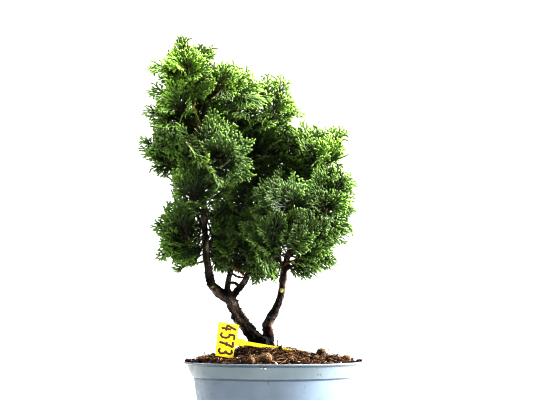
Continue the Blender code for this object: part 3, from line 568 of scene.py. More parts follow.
# The wood
# Root, stems, limbs and twigs grew as one piece. The old wood wears grey-brown bark that splits into
# long fibrous strips, the young wood is smooth and red-brown. The right stem has a fresh pruning scar.
VOXEL = 0.7 * MM
GRAIN_STEPS = 44  # the more, the longer the strips
SCARS_MM = (((6.9, -3.0, 177.5), 2.0, 1.0), ((-51.4, -3.4, 180.0), 1.2, 0.45))  # place, radius and freshness
RAW_BARK_MM = (-4.5, 144.0, 5.5)  # x, z and radius of the dark red patch where the right stem bends
KNOBS = 700  # stubs of shed twigs
RADIUS_TURN = 0.62  # on this skin, the radius is about this over the turn that a metre of it makes
BARK_BROWNS = (  # from the cracks to the strips' edges: the old bark and the young
    ((0.12, "#060403"), (0.42, "#28201B"), (0.7, "#4C423A"), (0.88, "#7A6E64"), (1.0, "#A89C90")),
    ((0.1, "#2E1C0E"), (0.45, "#74481E"), (0.8, "#B07A38"), (1.0, "#CC9C5C")),
)
BARE_TWIGS_MM = (  # three points of a curve in x and z, y, the radii at its ends, and how young its bark is
    # round the fork
    (-35.8, 193, -31.5, 188, -24, 188, -1, 0.9, 0.8, 0.1),
    (-38.2, 183, -31, 186.4, -28, 178.6, -3, 0.9, 1.3, 0.1),
    (-33.5, 200, -29, 193.5, -23.5, 190, -2, 1.1, 0.8, 0.5),
    (-37.5, 190.4, -39, 186.8, -38.2, 184, -3, 0.9, 0.6, 0.1),
    (-25, 190, -32, 198, -43, 203, -10, 0.8, 0.5, 0.3),
    # in the gap of the upper left stem
    (-67, 338, -66.5, 327, -63.5, 318, -10, 0.8, 1.1, 0.7),
    (-63.5, 318, -64, 311, -67.5, 303, -10, 1, 0.6, 0.7),
    # where the right stem's limbs part
    (8.5, 198, 16, 203, 26, 206, -9, 0.9, 0.6, 0.35),
    (8, 197, 3, 203, 2.5, 212, -9, 0.9, 0.5, 0.35),
    (10, 200, 13, 208, 19, 214, -9, 0.9, 0.5, 0.3),
)


def arrays_of(mesh):
    """A mesh's points, and the number of the point at each corner of its faces."""
    points, corners = np.empty(3 * len(mesh.vertices)), np.empty(len(mesh.loops), int)
    mesh.vertices.foreach_get("co", points)
    mesh.loops.foreach_get("vertex_index", corners)
    return points.reshape(-1, 3), corners


def merged(node):
    """A node's points and triangles, with the points that its loose triangles repeat made one."""
    points, corners = arrays_of(frame["nodes"][node].data)
    points, index = np.unique(points, axis=0, return_inverse=True)
    return points, index.ravel()[corners].reshape(-1, 3)


def voxel_mesh(node, size):
    """A node's solid as an even skin of small squares: its points, and its faces of four."""
    thing = put("raw", new_mesh("raw", *merged(node)))
    remesh = thing.modifiers.new("even_skin", "REMESH")
    remesh.mode, remesh.voxel_size = "VOXEL", size
    points, corners = arrays_of(finished(thing))
    bpy.data.objects.remove(thing)
    return points, corners.reshape(-1, 4)


def normals_of(points, quads):
    """The way each point faces: the sum of its faces' cross products, made one long."""
    cross = np.cross(points[quads[:, 2]] - points[quads[:, 0]], points[quads[:, 3]] - points[quads[:, 1]])
    total = np.column_stack([np.bincount(quads.ravel(), np.repeat(part, 4), len(points)) for part in cross.T])
    return total / np.maximum(np.linalg.norm(total, axis=1)[:, None], 1e-12)


class Neighbours:
    """The pairs of points that share an edge or a face's diagonal, to blend values along them."""

    def __init__(self, quads, count):
        pairs = np.concatenate([quads[:, pair] for pair in ((0, 1), (1, 2), (2, 3), (3, 0), (0, 2), (1, 3))])
        pairs = np.unique(np.sort(pairs, axis=1), axis=0)
        self.here = np.concatenate([pairs[:, 0], pairs[:, 1]])
        self.there = np.concatenate([pairs[:, 1], pairs[:, 0]])
        self.count = count

    def blend(self, values, steps, weight=None):
        """Each value becomes the mean of itself and its weighted neighbours, as often as steps says."""
        weight = np.ones(len(self.here)) if weight is None else weight
        total = 1 + np.bincount(self.here, weight, self.count)
        columns = values.reshape(self.count, -1).copy()
        for _ in range(steps):
            for k in range(columns.shape[1]):
                carried = np.bincount(self.here, weight * columns[self.there, k], self.count)
                columns[:, k] = (columns[:, k] + carried) / total
        return columns.reshape(values.shape)


def unit(values):
    """A field brought to mean 0 and spread 1."""
    return (values - values.mean()) / values.std()


def slope(value, start, end, top=1):
    """A slope from 0 where a value reaches the start, straight to 1 at the end, held to 0 and the top."""
    return np.clip((value - start) / (end - start), 0, top)


def bark():
    """Bark: fibrous grey-brown strips over dark cracks, red-brown and smooth where the wood is thin."""
    finish, tree, shader, place = new_finish("peeling_bark", Roughness=0.9, Specular_IOR_Level=0.15)
    marks = {name: add_node(tree, "Attribute", attribute_name=name).outputs["Fac"]
             for name in ("strip", "young", "scar", "raw")}
    fine = add_node(tree, "TexNoise",
                    {"Vector": place, "Scale": 1 / (1.3 * MM), "Detail": 6.0, "Roughness": 0.7})
    shift = add_node(tree, "MapRange", {0: fine, 1: 0.3, 2: 0.7, 3: -0.28, 4: 0.28})
    # the strip mark holds the bark's own strips, and painted light and shade as well
    mixed = add_node(tree, "Math", {0: marks["strip"], 1: shift}, operation="ADD")
    old, new = (add_node(tree, "ValToRGB", {0: mixed}, stops=stops) for stops in BARK_BROWNS)
    wood = add_node(tree, "Mix", {0: marks["young"], 6: old, 7: new}, data_type="RGBA")
    flushed = add_node(tree, "Mix", {0: marks["raw"], 6: wood, 7: linear("#2A0C0A")}, data_type="RGBA")
    colour = add_node(tree, "Mix", {0: marks["scar"], 6: flushed, 7: linear("#C4C070")}, data_type="RGBA")
    bump = add_node(tree, "Bump", {"Height": fine, "Strength": 0.9, "Distance": 0.6 * MM})
    feed(tree, shader, {"Base Color": colour, "Normal": bump})
    return finish


def build_bare_twigs(finish, rng):
    """Short dead twigs, each a bow between two points, a little knobbly."""
    rows = np.array(BARE_TWIGS_MM) * MM
    share = np.linspace(0, 1, 14)[:, None]
    start, middle, end = (np.column_stack([rows[:, k], rows[:, 6], rows[:, k + 1]])[:, None] for k in (0, 2, 4))
    paths = bow(start, middle, end, share)
    paths[:, 1:-1] += rng.normal(0, 0.16, paths[:, 1:-1].shape) * MM
    radii = (rows[:, 7:8] + (rows[:, 8:9] - rows[:, 7:8]) * share.T) * rng.uniform(0.7, 1.3, (len(rows), 14))
    points, faces, each = tubes(paths, radii, 8)
    young = np.repeat(rows[:, 9] / MM, each)
    marks = {"strip": np.repeat(rng.uniform(0.3, 0.6, len(rows)), each) + 0.12 * (young > 0.6), "young": young}
    marks["scar"] = marks["raw"] = np.zeros(len(points))
    add_piece("bare_twigs", (points, faces, marks), finish)


def build_wood():
    """The solid's skin, lifted by strips, sheets, flakes and knobs; gives its points and their radius."""
    rng = np.random.default_rng(3)
    points, quads = voxel_mesh("trunk_and_branches", VOXEL)
    near = Neighbours(quads, len(points))
    points = near.blend(points, 3)
    facing = normals_of(points, quads)
    # the wood runs the way that its surface turns least: the smallest axis of the facings around a point
    turns = near.blend(facing[:, :, None] * facing[:, None, :], 26)
    along = np.linalg.eigh(turns)[1][:, :, 0]
    step = points[near.there] - points[near.here]
    step_length = np.linalg.norm(step, axis=1)
    bend = np.linalg.norm(facing[near.there] - facing[near.here], axis=1) / step_length
    curve = np.bincount(near.here, bend, len(points)) / np.bincount(near.here, minlength=len(points))
    radius = RADIUS_TURN / np.maximum(near.blend(curve, 30), 30)
    lengthwise = np.abs((step * along[near.here]).sum(1) / step_length) ** 8
    # chance values carried along the wood turn into strips, and carried all ways into knobs
    strips = unit(near.blend(rng.normal(0, 1, len(points)), GRAIN_STEPS, lengthwise))
    sheets = unit(near.blend(near.blend(rng.normal(0, 1, len(points)), 3), GRAIN_STEPS * 2, lengthwise))
    knobs = unit(near.blend(rng.normal(0, 1, len(points)), 7))
    thick = np.clip((radius - 0.9 * MM) / (3.2 * MM), 0.12, 1)  # thin wood has finer bark
    flakes = unit(near.blend(rng.normal(0, 1, len(points)), 2, lengthwise))
    relief = 0.46 * np.tanh(1.3 * strips) + 0.4 * np.tanh(2.2 * sheets) + 0.32 * knobs + 0.2 * flakes
    for spot in points[rng.integers(0, len(points), KNOBS)]:
        away = np.linalg.norm(points - spot, axis=1)
        relief += rng.uniform(0.6, 2.0) * np.exp(-((away / (rng.uniform(0.6, 1.1) * MM)) ** 2))
    scar = np.zeros(len(points))
    for place, size, fresh in SCARS_MM:
        away = np.linalg.norm(points - np.array(place) * MM, axis=1)
        scar = np.maximum(scar, np.clip(3 * (1 - away * (1 + 0.22 * knobs) / (size * MM)), 0, fresh))
    relief = relief * (1 - scar) - 0.3 * scar
    x, _, z = points.T / MM
    swell = 0.45 * slope(radius, 1 * MM, 2.5 * MM) * (z > 135)
    # the two stems of the fork are a little thicker and further apart than their solids
    forked = slope(x, -45, -42) * slope(x, -14, -17) * slope(z, 173, 178) * slope(z, 202, 196)
    points = points + facing * (relief * thick + swell + 0.45 * forked)[:, None] * MM
    # the left stem bellies out to the left over the mound
    left = np.exp(-(((z - 153) / 15) ** 2)) * slope(x, -9, -13) * (1.5 + 0.8 * facing[:, 0])
    points[:, 0] += (0.7 * forked * np.tanh((x + 32) / 3) - left) * MM
    raw_x, raw_z, raw_size = RAW_BARK_MM
    raw_away = np.hypot(points[:, 0] / MM - raw_x, points[:, 2] / MM - raw_z) / raw_size
    # strips are pale, paler still where they face right, a painted highlight of the right-hand lamp; painted
    # shade darkens them near the soil, in the fork and on the left limb
    pale = 0.5 + 0.2 * strips + 0.16 * sheets + 0.26 * slope(facing[:, 0], 0, 1) * (sheets > 0)
    painted_foot_shade = 0.6 * slope(z, 144, 136) + 0.3 * slope(x, -12, -4) * (z < 138)
    shaded = 0.25 * forked + 0.22 * slope(x, -36, -40) * slope(z, 192, 186)
    marks = {
        "strip": pale - painted_foot_shade - shaded,
        "young": slope(z, 285, 325, 0.9) + slope(radius, 1.65 * MM, 0.15 * MM, 0.6) * slope(z, 192, 206),
        "scar": scar,
        "raw": np.clip(1.6 * (1 - raw_away), 0, 0.85),
    }
    triangles = np.concatenate([quads[:, (0, 1, 2)], quads[:, (0, 2, 3)]])
    finish = bark()
    add_piece("trunk", (points, triangles, marks), finish, ["trunk_and_branches"])
    build_bare_twigs(finish, rng)
    return points, radius


wood_points, wood_radius = build_wood()

# The sprays
# Each leafy branch carries flat ferny sprays that fork again and again, dressed in scale leaves that
# are pressed to the twig. They start brown and dark green inside the crown, with painted shade there, and end
# in blunt bright tips.
BLADE = 0.9 * MM  # thickness of the solid's fans
FAN_DROOP, SIDE_DROOP = 0.14, 2.5  # arch of a spray: a share of its length, and its sides' part in it
FRONDS = (  # a fan's sprays: turn in its plane, tilt, roll, size and where on its rib they start
    (0, 0, 0, 1.02, 0.0), (27, 7, 14, 0.82, 0.04), (-27, 9, -16, 0.82, 0.08), (10, -20, -38, 0.72, 0.14),
    (-12, -28, 34, 0.6, 0.22),
)
DEGREE = math.pi / 180
# side_shoots says what these are: spacing, first share, leans, shares, shortest and longest
BRANCH_LAYOUT = (3.2 * MM, 0.08, (46 * DEGREE, 20 * DEGREE), (0.6, 0.95), 3 * MM, 99 * MM)
SHOOT_LAYOUT = (2.35 * MM, 0.26, (36 * DEGREE, 22 * DEGREE), (0.7, 0.85), 3.2 * MM, 12 * MM)
TIP_LAYOUT = (2.3 * MM, 0.3, (36 * DEGREE, 28 * DEGREE), (0.75, 0.85), 2.4 * MM, 4.4 * MM)
# the rings of their skins: share of the length, half-width and half-thickness
AXIS_MM = ((0.05, 0.6, 0.5), (0.3, 0.7, 0.5), (0.55, 0.66, 0.42), (0.8, 0.62, 0.36), (1, 0.5, 0.24))
BRANCH_MM = ((0.12, 0.5, 0.36), (0.45, 0.62, 0.36), (0.8, 0.62, 0.34), (1, 0.42, 0.2))
SHOOT_MM = ((0.5, 0.76, 0.42), (1, 0.66, 0.28))
TIP_MM = ((1, 0.68, 0.36),)
LOOSE_SPRAYS_MM = (  # root, heading in the picture plane, lean towards the front, roll, length
    # under the crown's left side
    (-58, -2, 224, 205, 5, 10, 36), (-60, -4, 214, 190, 15, -10, 34), (-62, -6, 212, 206, 5, 15, 34),
    (-60, 6, 208, 196, -15, 0, 28), (-58, -4, 217, 236, 20, 0, 22), (-60, 6, 232, 170, -20, 20, 32),
    # between the left stem and the fork
    (-57, -2, 230, 330, 10, 10, 34), (-57, 0, 241, 345, 5, -15, 34), (-56, 2, 221, 316, -10, 10, 31),
    (-57, -2, 212, 322, 5, 0, 26), (-40, 2, 216, 215, 0, 30, 26), (-56, 4, 236, 300, -20, 0, 34),
    # under its middle, one of them hanging in front
    (8, -2, 208, 205, 10, 10, 34), (-18, 2, 206, 330, -5, 0, 28), (8, 0, 214, 225, -10, 15, 36),
    (-16, 4, 213, 268, 0, -20, 25), (-12, -19, 214, 303, 8, 20, 31), (-21, -2, 197, 25, 15, 0, 24),
    (-20, 4, 205, 190, 0, 10, 26), (6, 4, 218, 250, 10, -10, 34),
    # under its right side
    (12, 2, 207, 352, 5, 10, 40), (12, 2, 203, 335, 10, -10, 30), (14, 0, 212, 8, 15, 0, 38),
    (11, 2, 201, 318, -10, 10, 23), (14, 6, 210, 345, -25, 20, 36),
    # between the upper masses
    (-16, 10, 296, 75, 10, 10, 34), (-12, 8, 303, 28, 0, -10, 32), (-18, 6, 300, 120, 10, 0, 30),
    (-8, 4, 312, 50, -10, 15, 26), (0, 6, 320, 330, 0, 0, 26), (-15, 10, 252, 68, 15, 10, 30),
    (26, 1, 256, 150, 15, 0, 36), (14, 4, 300, 10, 5, 0, 26), (-20, 8, 318, 20, 20, 0, 30),
    # round the upper left stem
    (-60, -3, 264, 22, 25, 0, 28), (-58, -4, 252, 30, 35, 0, 30), (-64, -2, 280, 200, 35, 0, 30),
    (-64, 0, 282, 330, 35, 0, 30), (-65, 3, 300, 210, 35, 0, 28), (-64, -2, 300, 320, 40, 0, 34),
    (-66, -16, 252, 128, 15, 0, 32), (-67, -16, 252, 104, 20, 0, 36), (-66, -16, 252, 80, 20, 0, 36),
    (-65, -14, 253, 56, 15, 0, 32),
    # rays that rise from the right stem and between the two stems
    (9, -10, 206, 164, 8, 0, 40), (9, -12, 208, 140, 12, 0, 44), (10, -12, 210, 114, 14, 0, 44),
    (12, -12, 211, 86, 12, 0, 38), (14, -10, 211, 58, 8, 0, 38), (-22, -8, 204, 160, 10, 0, 36),
    (-22, -8, 206, 136, 12, 0, 38), (-21, -6, 206, 108, 10, 0, 36), (-52, -5, 208, 40, 15, 0, 32),
    (-52, -5, 212, 64, 15, 0, 32), (26, -4, 222, 30, 12, 0, 32), (28, -4, 226, 4, 14, 0, 30),
    (42, -3, 236, 350, 8, 0, 26), (40, -3, 228, 338, 5, 0, 24),
    # in the gaps of the middle
    (-40, 2, 205, 300, 0, 0, 20), (-30, 2, 207, 282, 0, 0, 22), (-12, 6, 266, 60, 10, 0, 28),
    (-20, 8, 262, 105, 10, 0, 28), (-30, 2, 322, 18, 15, 0, 24), (-80, 6, 352, 78, 10, 0, 24),
    (-36, 6, 316, 36, 10, 0, 26), (20, 4, 276, 60, 5, 0, 24), (-67, 8, 240, 215, 0, 0, 24),
    (-68, 8, 228, 200, 0, 0, 22), (-50, 0, 207, 298, 0, 0, 16), (-42, 0, 206, 280, 0, 0, 15),
    (-67, 10, 252, 262, 0, 0, 30), (-78, 9, 232, 348, 0, 0, 17), (-2, 6, 268, 60, 10, 0, 26),
    (2, 8, 270, 20, 10, 0, 24), (-44, -8, 276, 290, 10, 0, 18),
)
TIP_SPRAYS_MM = (  # tips that stand out of the outline
    (-8, 5, 339, 82, 0, 10, 24), (5, 2, 344, 84, 0, -10, 18), (-91, -2, 366, 172, 0, 0, 18),
    (-91, -2, 344, 164, 5, 0, 17), (-92, -4, 296, 170, 5, 0, 22), (-90, -2, 284, 190, 5, 0, 15),
    (-104, -3, 300, 140, 0, 0, 12),
    (-94, -2, 326, 166, 5, 0, 17), (-86, -4, 284, 214, 5, 0, 16), (50, -4, 262, 20, 5, 0, 21),
    (50, -3, 246, 4, 5, 0, 20), (44, 0, 297, 50, 0, 0, 22), (-76, -2, 366, 92, 0, 0, 22),
    (-64, 0, 371, 52, 0, 0, 20), (-64, 0, 376, 84, 0, 0, 12), (-82, 0, 373, 108, 0, 0, 13),
    (30, 0, 296, 100, 0, 0, 26), (14, 4, 328, 8, 0, 0, 14), (36, 0, 301, 84, 0, 0, 17),
    (50, -2, 302, 60, 0, 0, 18), (-28, 0, 354, 66, 0, 0, 16), (50, -2, 233, 345, 5, 0, 19),
    (-13, -2, 194, 262, 0, 0, 12), (-61, 0, 372, 50, 0, 0, 13), (-50, -2, 360, 62, 0, 0, 14),
    (-38, -2, 358, 72, 0, 0, 15), (-26, -2, 348, 52, 0, 0, 16), (54, -2, 268, 35, 0, 0, 16),
    (54, -2, 248, 0, 0, 0, 16), (40, -2, 206, 340, 0, 0, 16), (-91, -2, 231.5, 178, 0, 0, 13),
    (-86, -2, 211, 200, 0, 0, 15), (-71, -2, 199, 183, 0, 0, 15),
)
BRIGHT_SPRAYS_MM = (  # this year's growth: a row of tufts across the left, a hanging chain, two on top
    (-71, -40, 297, 313, 10, 40, 16), (-64, -40, 289, 311, 10, -30, 15), (-57, -40, 281.5, 316, 10, 40, 15),
    (-50, -40, 274, 308, 10, 30, 15), (-15, -20, 218, 300, 10, 30, 11), (-12, -21, 211, 296, 10, -30, 11),
    (-8.5, -21, 205, 300, 10, 30, 11), (-5, -21, 199, 298, 10, -30, 11), (-2, -21, 192.5, 300, 10, 30, 10),
    (-77.5, 0, 380.5, 90, 0, 20, 15.5), (-60, -2, 378, 40, 0, 0, 11),
)
LEADING_TIP_MM = (  # the prongs at the very top: x and z of three points along each
    (-77.8, 382.0, -78.4, 388.5, -78.7, 397.4), (-78.4, 387.6, -79.6, 390.6, -82.0, 394.8),
    (-78.1, 385.6, -76.6, 389.0, -74.1, 393.8), (-78.0, 383.6, -80.4, 386.0, -83.8, 388.0),
)
CROWN_OUTLINE_MM = np.array((  # the crown seen from the front, as x and z in the trunk's plane
    (-78, 397), (-72, 386), (-62, 387), (-49, 385), (-51, 374), (-31, 372), (-15, 354), (-7, 354),
    (5, 362), (14, 352), (16, 340), (24, 331), (18, 320), (21, 313), (40, 316), (60, 305), (63, 295),
    (63, 279), (71, 264), (69, 244), (67, 217), (48, 215), (54, 202), (48, 194), (26, 186), (12, 192),
    (5, 184), (-8, 190), (-12, 182), (-19, 190), (-29, 194), (-42, 192), (-52, 190), (-60, 195),
    (-80, 200), (-98, 211), (-94, 222), (-105, 231), (-88, 253), (-83, 266), (-86, 274), (-97, 279),
    (-102, 285), (-113, 290), (-117, 294), (-101, 302), (-103, 312), (-109, 323), (-100, 330),
    (-104, 349), (-91, 351), (-107, 368), (-93, 375), (-85, 386),
)) * MM
BARE_STEMS_MM = (  # stretches of wood that no spray hides, as x and z in the trunk's plane
    ((-58.7, 244), (-57, 220), (-56.2, 202), (-53.9, 190), (-51, 179)),
    ((13, 216), (9.1, 201.5), (8.6, 193), (7, 179)), ((-62, 336), (-67, 312)),
)
CROWN_MIDDLE = np.array((-25, 6, 255)) * MM
INNER_SPRAYS = 60  # sprays that start on the limbs inside the crown
SKY_CELL, SKY_REACH = 4 * MM, 13 * MM  # how finely shade is worked out, and how deep light gets
LEAF_GREENS = (  # from a spray's foot to its tips: in painted shade, in painted sun, and this year's growth
    ((0.0, "#261E0E"), (0.25, "#18260B"), (0.7, "#324A16"), (1.0, "#587628")),
    ((0.0, "#36310E"), (0.3, "#324A13"), (0.65, "#4A6620"), (0.88, "#5A7A2A"), (1.0, "#6A863A")),
    ((0.0, "#4C4614"), (0.3, "#526E24"), (0.65, "#64862A"), (0.88, "#78982E"), (1.0, "#8AA63C")),
)


def fans(node):
    """A branch's fans, read back from its solid: root, the ways along, across and out of it, length.

    Only the wall of a fan has edges as long as the fan is thick, which tells its points from the
    stalk's. Its foot is where such an edge has a neighbour on the stalk.
    """
    points, faces = merged(node)
    edges = np.unique(np.sort(np.concatenate([faces[:, (0, 1)], faces[:, (1, 2)], faces[:, (2, 0)]])), axis=0)
    span = np.linalg.norm(points[edges[:, 0]] - points[edges[:, 1]], axis=1)
    walls = edges[np.abs(span - BLADE) < 0.0008 * MM]
    leafy = np.zeros(len(points), bool)
    leafy[walls] = True
    inner = edges[leafy[edges].all(1)]
    label = np.arange(len(points))
    for _ in range(20):
        np.minimum.at(label, inner[:, 0], label[inner[:, 1]])
        np.minimum.at(label, inner[:, 1], label[inner[:, 0]])
    bridge = edges[leafy[edges].sum(1) == 1]
    foot = np.zeros(len(points), bool)
    foot[bridge] = True
    found = []
    for name in np.unique(label[leafy]):
        mine = walls[label[walls[:, 0]] == name]
        middle = points[mine].mean(1)
        ends = middle[foot[mine].any(1)]
        root = ends.mean(0)
        out = points[mine[:, 1]] - points[mine[:, 0]]
        out = (out * np.sign(out @ out[0])[:, None]).mean(0)
        out /= np.linalg.norm(out)
        out *= -np.sign(((middle - root) @ out).mean())
        across = ends[1] - ends[0]
        across -= out * (across @ out)
        along = np.cross(across, out)
        along /= np.linalg.norm(along)
        along *= np.sign(((middle - root) @ along).mean())
        found.append((root, along, np.cross(out, along), out, ((middle - root) @ along).max()))
    return found, points[~leafy]


def side_shoots(stems, spacing, first, leans, shares, shortest, longest, rng):
    """Shoots that stand off other shoots, left and right in turn, in the plane of the spray.

    From a first share of its stem on, they sit a spacing apart. They lean off it by an angle that
    falls from the first lean to the second, as long as a share of what is left of the stem, and
    bend a little forwards.
    """
    counts = np.maximum(((1 - first) * stems["length"] / spacing).astype(int), 0)
    stem = np.repeat(np.arange(len(counts)), counts)
    order = np.arange(len(stem)) - np.repeat(np.cumsum(counts) - counts, counts)
    length, heading, bend = (stems[key][stem] for key in ("length", "heading", "bend"))
    at = np.minimum(first * length + (order + rng.uniform(0.3, 0.7, len(stem))) * spacing, 0.97 * length)
    share = at / length
    side = np.where((order + stem) % 2, 1.0, -1.0)
    chord = heading + 0.5 * bend * share
    lean = (leans[0] + (leans[1] - leans[0]) * share) * rng.uniform(0.85, 1.15, len(stem))
    left = (shares[0] + (shares[1] - shares[0]) * share) * (length - at)
    return {
        "place": stems["place"][stem] + at[:, None] * np.column_stack([np.cos(chord), np.sin(chord)]),
        "heading": heading + bend * share + side * lean,
        "bend": -side * rng.uniform(0.1, 0.45, len(stem)) * lean,
        "length": np.clip(left, shortest, longest) * rng.uniform(0.85, 1.15, len(stem)),
        "lift": stems["lift"][stem] + share * stems["curl"][stem] + rng.uniform(-0.3, 0.3, len(stem)) * MM,
        "curl": rng.uniform(-0.6, 0.9, len(stem)) * MM,
        "age": stems["age"][stem] + (stems["tip_age"][stem] - stems["age"][stem]) * share,
        "limb": stems["limb"][stem],
    }


def skin(shoots, rows_mm, tip_age):
    """The skin of shoots: a point at the foot, then rings of three with a ridge above, and a blunt tip.

    A ring's middle lies on the shoot's arc: its chord runs at the heading plus half the bend so far.
    """
    share, half_width, half_thickness = np.array(rows_mm).T
    bend = shoots["bend"][:, None] * share
    chord = shoots["heading"][:, None] + 0.5 * bend
    run = shoots["length"][:, None] * share
    beside = shoots["heading"][:, None] + bend + np.pi / 2
    middle = np.stack([
        shoots["place"][:, :1] + run * np.cos(chord), shoots["place"][:, 1:] + run * np.sin(chord),
        shoots["lift"][:, None] + shoots["curl"][:, None] * share,
    ], axis=-1)
    edge = np.stack([np.cos(beside), np.sin(beside), 0 * beside], axis=-1) * half_width[:, None] * MM
    ridge = np.array((0, 0, MM)) * half_thickness[:, None]
    rings = np.stack([middle + edge - 0.5 * ridge, middle + 1.2 * ridge, middle - edge - 0.5 * ridge], axis=2)
    count, rows = rings.shape[:2]
    foot = np.column_stack([shoots["place"], shoots["lift"]])[:, None]
    points = np.concatenate([foot, rings.reshape(count, 3 * rows, 3)], axis=1)
    base, last = [(0, 2, 1), (0, 3, 2), (0, 1, 3)], 3 * rows
    faces = np.concatenate([base, 1 + grid_faces(rows, 3), [(last - 2, last - 1, last)]])
    where = np.append(0, np.repeat(share, 3))
    faces = faces + len(where) * np.arange(count)[:, None, None]
    age = shoots["age"][:, None] + (tip_age - shoots["age"][:, None]) * where
    run = shoots["length"][:, None] * where
    marks = {"age": age.ravel(), "run": run.ravel() / MM, "limb": np.repeat(shoots["limb"], len(where))}
    return points.reshape(-1, 3), faces.reshape(-1, 3), marks


def joined(skins):
    """Several skins as one: points, triangles and marks one after the other."""
    starts = np.cumsum([0] + [len(points) for points, _, _ in skins[:-1]])
    points = np.concatenate([points for points, _, _ in skins])
    faces = np.concatenate([faces + start for (_, faces, _), start in zip(skins, starts)])
    return points, faces, {key: np.concatenate([marks[key] for _, _, marks in skins]) for key in skins[0][2]}


def frond(length, rng):
    """One flat spray: an axis, side branches whose reach gives it a fan's outline, shoots, tips."""
    bend, none = rng.uniform(-0.3, 0.3, 1), np.zeros(1)
    axis = {"place": np.zeros((1, 2)), "heading": -0.5 * bend, "bend": bend, "length": np.array([length]),
            "lift": none, "curl": none, "age": none, "tip_age": np.full(1, 0.75), "limb": np.zeros(1, int)}
    branches = side_shoots(axis, *BRANCH_LAYOUT, rng)
    branches["tip_age"] = branches["age"] * 0.3 + 0.62
    branches["limb"] = 1 + np.arange(len(branches["age"]))
    shoots = side_shoots(branches, *SHOOT_LAYOUT, rng)
    shoots["age"] += rng.uniform(-0.14, 0.1, len(shoots["age"]))
    shoots["tip_age"] = np.minimum(shoots["age"] + 0.4, 1.0)
    long = {key: value[shoots["length"] > 4.6 * MM] for key, value in shoots.items()}
    tips = side_shoots(long, *TIP_LAYOUT, rng)
    return joined([skin(axis, AXIS_MM, 0.75), skin(branches, BRANCH_MM, 0.9), skin(shoots, SHOOT_MM, 1.0),
                   skin(tips, TIP_MM, 1.05)])


def turned_frame(along, across, out, turn, tilt, roll):
    """A fan's three ways, turned in its plane, then tilted out of it, then rolled about its axis."""
    ways = Matrix((along, across, out)).transposed()
    spin = Matrix.Rotation(turn, 3, "Z") @ Matrix.Rotation(-tilt, 3, "Y") @ Matrix.Rotation(roll, 3, "X")
    return np.array((ways @ spin).transposed())


def pictured(points):
    """Where points show in the picture, as x and z in the trunk's plane, each on its line of sight."""
    scale = -EYE.y / (points[:, 1] - EYE.y)
    return np.array((EYE.x, EYE.z)) + (points[:, ::2] - (EYE.x, EYE.z)) * scale[:, None]


def within(flat, outline):
    """True where a point lies in a closed line: a ray to its right crosses an odd number of sides."""
    x, z = flat.T
    inside = np.zeros(len(flat), bool)
    for (x0, z0), (x1, z1) in zip(outline, np.roll(outline, -1, axis=0)):
        between = (z0 > z) != (z1 > z)
        inside ^= between & (x < x0 + (x1 - x0) * (z - z0) / (z1 - z0 or 1))
    return inside


def shortened(fan):
    """A fan cut back until its rib and two side sprays end inside the crown's outline."""
    root, along, across, out, length = fan
    ways = np.array([along, 0.72 * along + 0.34 * across, 0.72 * along - 0.34 * across])
    for share in np.linspace(1, 0.4, 13):
        if within(pictured(root + share * length * ways), CROWN_OUTLINE_MM).all():
            break
    return root, along, across, out, share * length


def pruned(points, faces, marks, free):
    """A spray without the side branches that leave the outline, if it isn't free to, or hide a bare stem."""
    flat, limb = pictured(points), marks.pop("limb")
    astray = ~within(flat, CROWN_OUTLINE_MM) & (not free)
    before = np.zeros(len(points), bool)
    for path in BARE_STEMS_MM:
        x, z = np.array(path).T[:, ::-1] * MM
        beside = np.abs(flat[:, 0] - np.interp(flat[:, 1], z, x)) < 4 * MM
        before |= beside & (flat[:, 1] > z[0]) & (flat[:, 1] < z[-1]) & (points[:, 1] < 4 * MM)
    size = np.bincount(limb)
    off = (np.bincount(limb, astray) > 0.3 * size) | (np.bincount(limb, before) > 0.06 * size)
    off[0] = False
    used, index = np.unique(faces[~off[limb[faces[:, 0]]]], return_inverse=True)
    return points[used], index.reshape(-1, 3), {key: values[used] for key, values in marks.items()}


def sprays_on(fan, fronds, rng, free=False):
    """The sprays of one fan, each bent like the fan: it droops by the square of the way along and across."""
    root, along, across, out, length = fan
    made = []
    for turn, tilt, roll, size, start in fronds:
        jitter = rng.uniform(-6, 6, 3) * (size < 1)
        angles = np.radians(np.array((turn, tilt, roll)) + jitter)
        ways = turned_frame(along, across, out, *angles)
        flat, faces, marks = frond(size * length, rng)
        u, v, lift = flat.T
        droop = FAN_DROOP * (u**2 + SIDE_DROOP * v**2) / (size * length)
        points = root + start * length * along + np.column_stack([u, v, lift - droop]) @ ways
        marks["tone_and_painted_light"] = np.full(len(points), rng.uniform(0, 1))
        made.append(pruned(points, faces, marks, free))
    return joined(made)


def aimed(root, along, facing, roll, length):
    """A fan at a root: it runs along one way, and turns its upper side to another as far as it can."""
    along = along / np.linalg.norm(along)
    out = facing - along * (facing @ along)
    out /= np.linalg.norm(out)
    across = np.cross(out, along)
    out, across = out * math.cos(roll) + across * math.sin(roll), across * math.cos(roll) - out * math.sin(roll)
    return root, along, across, out, length


def outward(fan):
    """A fan rolled about its rib: the crown is broad and shallow, and its sprays look to the front or back."""
    root, along, _, out, length = fan
    side = math.copysign(1.1, (root + 0.6 * length * along)[1] - CROWN_MIDDLE[1])
    return aimed(root, along, 0.55 * out + (0, side, 0.35), 0.0, length)


def loose_fans(rows):
    """The fans of a table: heading, lean and roll are angles in degrees, and they face front and up."""
    for x, y, z, heading, lean, roll, length in rows:
        heading, lean, roll = np.radians((heading, lean, roll))
        along = np.array((math.cos(heading) * math.cos(lean), -math.sin(lean),
                          math.sin(heading) * math.cos(lean)))
        yield aimed(np.array((x, y, z)) * MM, along, np.array((0.1, -0.75, 0.65)), roll, length * MM)


